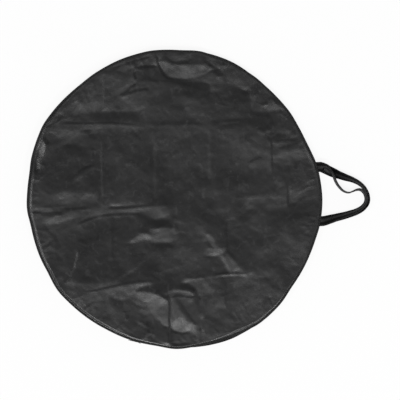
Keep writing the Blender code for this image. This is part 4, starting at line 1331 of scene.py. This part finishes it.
buildEndTab("zipEndTabStart", -1, "zip_end_tab_start")
buildEndTab("zipEndTabFinish", 1, "zip_end_tab_finish")
print("end patches made")

# Slider and pull tab
sliderFinish = {"weld": 0.00001, "rounding": 0.00018, "segments": 2, "sharpFrom": 35.0}
for node in ("slider_body", "slider_bridge", "pull_tab"):
    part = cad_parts[node]
    part.data.materials.clear()
    part.data.materials.append(sliderMetal)
    weld = part.modifiers.new("joinFaces", "WELD")
    weld.merge_threshold = sliderFinish["weld"]
    soften = part.modifiers.new("roundEdges", "BEVEL")
    soften.width = sliderFinish["rounding"]
    soften.segments = sliderFinish["segments"]
    soften.limit_method = "ANGLE"
    soften.angle_limit = math.radians(sliderFinish["sharpFrom"])
print("slider finished")

# Carrying handles
handle = {
    "direction": math.radians(2), "width": 0.025, "thickness": 0.0015, "seat": 0.014,
    "spacing": 0.1368, "reach": 0.1202, "hingeOffset": 0.0027, "floorClearance": 0.0007,
    "steps": 14, "weld": 0.00002, "seamCut": 0.0004, "sharpFrom": 60.0, "endLead": 0.3,
    # the webbing's outline, as shares of half its width and of half its thickness
    "shares": (-0.92, -0.84, -0.5, 0.0, 0.5, 0.84, 0.92),
    "swell": (1.0, 0.86, 0.8, 0.84, 0.8, 0.86, 1.0), "selvage": (0.975, 0.75),
}
# Along the reach, across the spacing, lift as a part of the bag's height, turn from flat to on edge
backRoute = (
    (0.276, 0.387, 0.00, 0.20), (0.395, 0.340, 0.00, 0.44), (0.508, 0.298, 0.00, 0.52),
    (0.702, 0.230, 0.00, 0.68), (0.862, 0.136, 0.00, 0.77), (0.948, 0.035, 0.00, 0.81),
    (0.988, -0.080, 0.00, 0.82), (0.978, -0.180, 0.00, 0.80), (0.916, -0.262, 0.00, 0.76),
    (0.806, -0.331, 0.00, 0.70), (0.575, -0.400, 0.00, 0.62), (0.302, -0.452, 0.00, 0.52),
)
frontRoute = (
    (0.095, 0.504, 0.49, 0.60), (0.155, 0.490, 0.376, 0.82), (0.205, 0.435, 0.303, 0.87),
    (0.270, 0.336, 0.25, 0.88), (0.325, 0.208, 0.20, 0.88), (0.400, 0.106, 0.13, 0.89),
    (0.481, 0.038, 0.09, 0.91), (0.587, 0.008, 0.06, 0.92), (0.668, 0.028, 0.05, 0.91),
    (0.750, 0.054, 0.05, 0.87), (0.830, 0.054, 0.05, 0.84), (0.895, 0.012, 0.05, 0.84),
    (0.940, -0.070, 0.05, 0.84), (0.938, -0.165, 0.06, 0.83), (0.884, -0.244, 0.07, 0.79),
    (0.784, -0.311, 0.09, 0.72), (0.562, -0.380, 0.16, 0.63), (0.300, -0.436, 0.36, 0.50),
)
innerEdge = (handle["spacing"] - handle["width"]) / 2
hingeRun = math.sqrt(rimRadius ** 2 - innerEdge ** 2) + handle["hingeOffset"]
toHinge = Matrix.Rotation(handle["direction"], 4, "Z") @ Matrix.Translation((hingeRun, 0, 0))


# Outline of the webbing across: flat faces, rounded selvages; runs clockwise
def webbingSection():
    curve = bpy.data.curves.new("webbingSection", "CURVE")
    curve.dimensions = "2D"
    spline = curve.splines.new("POLY")
    half, thick = handle["width"] / 2, handle["thickness"] / 2
    shares, swell = handle["shares"], handle["swell"]
    edge, fall = half * handle["selvage"][0], thick * handle["selvage"][1]
    points = [(share * half, thick * level) for share, level in zip(shares, swell)]
    points += [(edge, fall), (half, 0.0), (edge, -fall)]
    points += [(share * half, -thick * level) for share, level in zip(reversed(shares), swell)]
    points += [(-edge, -fall), (-half, 0.0), (-edge, fall)]
    spline.points.add(len(points) - 1)
    for point, (x, y) in zip(spline.points, points):
        point.co = (x, y, 0.0, 1.0)
    spline.use_cyclic_u = True
    section = bpy.data.objects.new("webbingSection", curve)
    perimeter = sum(math.dist(a, b) for a, b in zip(points, points[1:] + points[:1]))
    return section, perimeter


def buildHandle(name, rootHeight, route, nodes):
    section, perimeter = webbingSection()
    curve = bpy.data.curves.new(name, "CURVE")
    curve.dimensions = "3D"
    curve.twist_mode = "Z_UP"
    curve.resolution_u = handle["steps"]
    curve.bevel_mode = "OBJECT"
    curve.bevel_object = section
    curve.use_fill_caps = True
    start, seat, halfSpacing = bag["seamGap"] / 2, -handle["seat"], handle["spacing"] / 2
    stations = [(Vector((seat, halfSpacing, rootHeight)), 0.0),
                (Vector((start, halfSpacing, rootHeight)), 0.0)]
    for along, across, lift, turn in route:
        tilt = turn * math.pi / 2
        lying = (handle["width"] / 2 * math.sin(tilt) + handle["thickness"] / 2 * math.cos(tilt)
                 + handle["floorClearance"])
        stations.append((Vector((along * handle["reach"], across * handle["spacing"],
                                 lying + lift * bag["height"])), tilt))
    stations += [(Vector((start, -halfSpacing, rootHeight)), 0.0),
                 (Vector((seat, -halfSpacing, rootHeight)), 0.0)]
    spline = curve.splines.new("BEZIER")
    spline.bezier_points.add(len(stations) - 1)
    for point, (place, tilt) in zip(spline.bezier_points, stations):
        point.co = place
        point.tilt = tilt
        point.handle_left_type = point.handle_right_type = "AUTO"
    lead = Vector((handle["width"] / 4, 0.0, 0.0))
    for index, sign in ((0, 1), (1, 1), (-2, -1), (-1, -1)):
        point = spline.bezier_points[index]
        point.handle_left_type = point.handle_right_type = "FREE"
        reach = lead if index in (1, -2) else lead * handle["endLead"]
        point.handle_left = point.co - reach * sign
        point.handle_right = point.co + reach * sign
    mesh = meshOfCurve(name, curve)
    length = spline.calc_length()
    bpy.data.objects.remove(section)
    mesh.transform(toHinge)
    for entry in mesh.uv_layers[0].data:
        entry.uv = (entry.uv[0] * length, entry.uv[1] * perimeter)
    bm = bmesh.new()
    bm.from_mesh(mesh)
    bmesh.ops.remove_doubles(bm, verts=bm.verts, dist=handle["weld"])
    heading = Vector((math.cos(handle["direction"]), math.sin(handle["direction"]), 0))
    seamTable = upperTable if rootHeight > middleHeight else lowerTable
    for vert in bm.verts:   # the sewn ends are cut to the curve of the seam
        angle = math.atan2(vert.co.y, vert.co.x)
        limit = legRadius + float(tableAt(seamTable, angle)) + handle["seamCut"]
        flat = Vector((vert.co.x, vert.co.y, 0))
        if flat.length < limit:
            along = flat.dot(heading)
            need = math.sqrt(max(limit ** 2 - (flat - heading * along).length ** 2, 0.0))
            vert.co += heading * (need - along)
    bmesh.ops.recalc_face_normals(bm, faces=bm.faces)
    bm.to_mesh(mesh)
    bm.free()
    mesh.shade_smooth()
    mesh.set_sharp_from_angle(angle=math.radians(handle["sharpFrom"]))
    strap = newPiece(name, mesh, webbingCloth)
    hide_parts(*nodes)
    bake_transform(strap)
    print(name, "length of webbing", round(length, 4))


backRoot = seamHeight + bag["seamGap"] + handle["thickness"] / 2
buildHandle("backHandleStrap", backRoot, backRoute,
            ("back_handle", "back_handle_end_upper", "back_handle_end_lower"))
buildHandle("frontHandleStrap", bag["height"] - backRoot, frontRoute,
            ("front_handle", "front_handle_end_upper", "front_handle_end_lower"))
print("handles made")

# Floor and light
studio = {
    "floorGlow": 0.90, "floorColour": 0.10, "floorHalf": 20.0, "floorDrop": 0.0002,
    "horizon": 1.3, "horizonHeights": (0.08, 0.34), "horizonFromBelow": (1.2, 0.8),
    "dome": 0.8, "zenith": 0.133, "domeHeights": (0.10, 0.70), "domeFromLeft": (0.6, 1.4),
    "aimedAt": (0.0, 0.0, 0.0),
    "boxes": (
        # name, place, width, length, watts
        ("lowerBox", (-0.3, -2.8, 8.4), 2.0, 1.2, 230.0),
        ("leftBox", (-3.6, -0.3, 8.0), 1.4, 1.4, 110.0),
        ("lowerLeftBox", (-2.5, -2.6, 8.2), 1.0, 1.0, 36.0),
        ("rightBox", (3.8, 0.0, 8.0), 1.4, 1.4, 16.0),
        ("cornerBox", (3.1, -3.7, 7.0), 1.6, 1.6, 120.0),
    ),
}


def buildStudio():
    bm = bmesh.new()
    bmesh.ops.create_grid(bm, x_segments=1, y_segments=1, size=studio["floorHalf"])
    mesh = meshFrom(bm, "studioFloor", smooth=False)
    material = bpy.data.materials.new("studioFloor")
    material.use_nodes = True
    tree = material.node_tree
    tree.nodes.clear()
    path = addNode(tree, "ShaderNodeLightPath")
    seen = mathNode(tree, "ADD", path.outputs["Is Camera Ray"], path.outputs["Is Glossy Ray"])
    seen = mathNode(tree, "ADD", seen, path.outputs["Is Transmission Ray"])
    glow = addNode(tree, "ShaderNodeEmission", None,
                   {"Color": (1, 1, 1, 1),
                    "Strength": mathNode(tree, "MULTIPLY", seen, studio["floorGlow"])})
    level = studio["floorColour"]
    cover = addNode(tree, "ShaderNodeBsdfDiffuse", None, {"Color": (level, level, level, 1)})
    both = addNode(tree, "ShaderNodeAddShader", None, {0: glow.outputs[0], 1: cover.outputs[0]})
    addNode(tree, "ShaderNodeOutputMaterial", None, {"Surface": both.outputs[0]})
    floor = newPiece("studioFloor", mesh, material)
    floor.location.z = -studio["floorDrop"]

    world = bpy.data.worlds.new("studioWorld")
    bpy.context.scene.world = world
    world.use_nodes = True
    tree = world.node_tree
    tree.nodes.clear()
    direction = addNode(tree, "ShaderNodeTexCoord").outputs["Generated"]
    parts = addNode(tree, "ShaderNodeSeparateXYZ", None, {0: direction}).outputs
    ring = mathNode(tree, "MULTIPLY",
                    spread(tree, parts[2], *studio["horizonHeights"], studio["horizon"], 0.0),
                    spread(tree, parts[1], -1.0, 1.0, *studio["horizonFromBelow"]))
    dome = mathNode(tree, "MULTIPLY", spread(tree, parts[0], -1.0, 1.0, *studio["domeFromLeft"]),
                    spread(tree, parts[2], *studio["domeHeights"], studio["dome"],
                           studio["zenith"]))
    level = mathNode(tree, "ADD", ring, dome)
    sky = addNode(tree, "ShaderNodeBackground", None, {"Color": (1, 1, 1, 1), "Strength": level})
    addNode(tree, "ShaderNodeOutputWorld", None, {"Surface": sky.outputs[0]})

    for name, place, width, length, watts in studio["boxes"]:
        light = bpy.data.lights.new(name, "AREA")
        light.shape = "RECTANGLE"
        light.size, light.size_y = width, length
        light.energy = watts
        lamp = bpy.data.objects.new(name, light)
        lamp.location = place
        aim = Vector(studio["aimedAt"]) - Vector(place)
        lamp.rotation_euler = aim.to_track_quat("-Z", "Y").to_euler()
        bpy.context.scene.collection.objects.link(lamp)


buildStudio()
print("studio made")
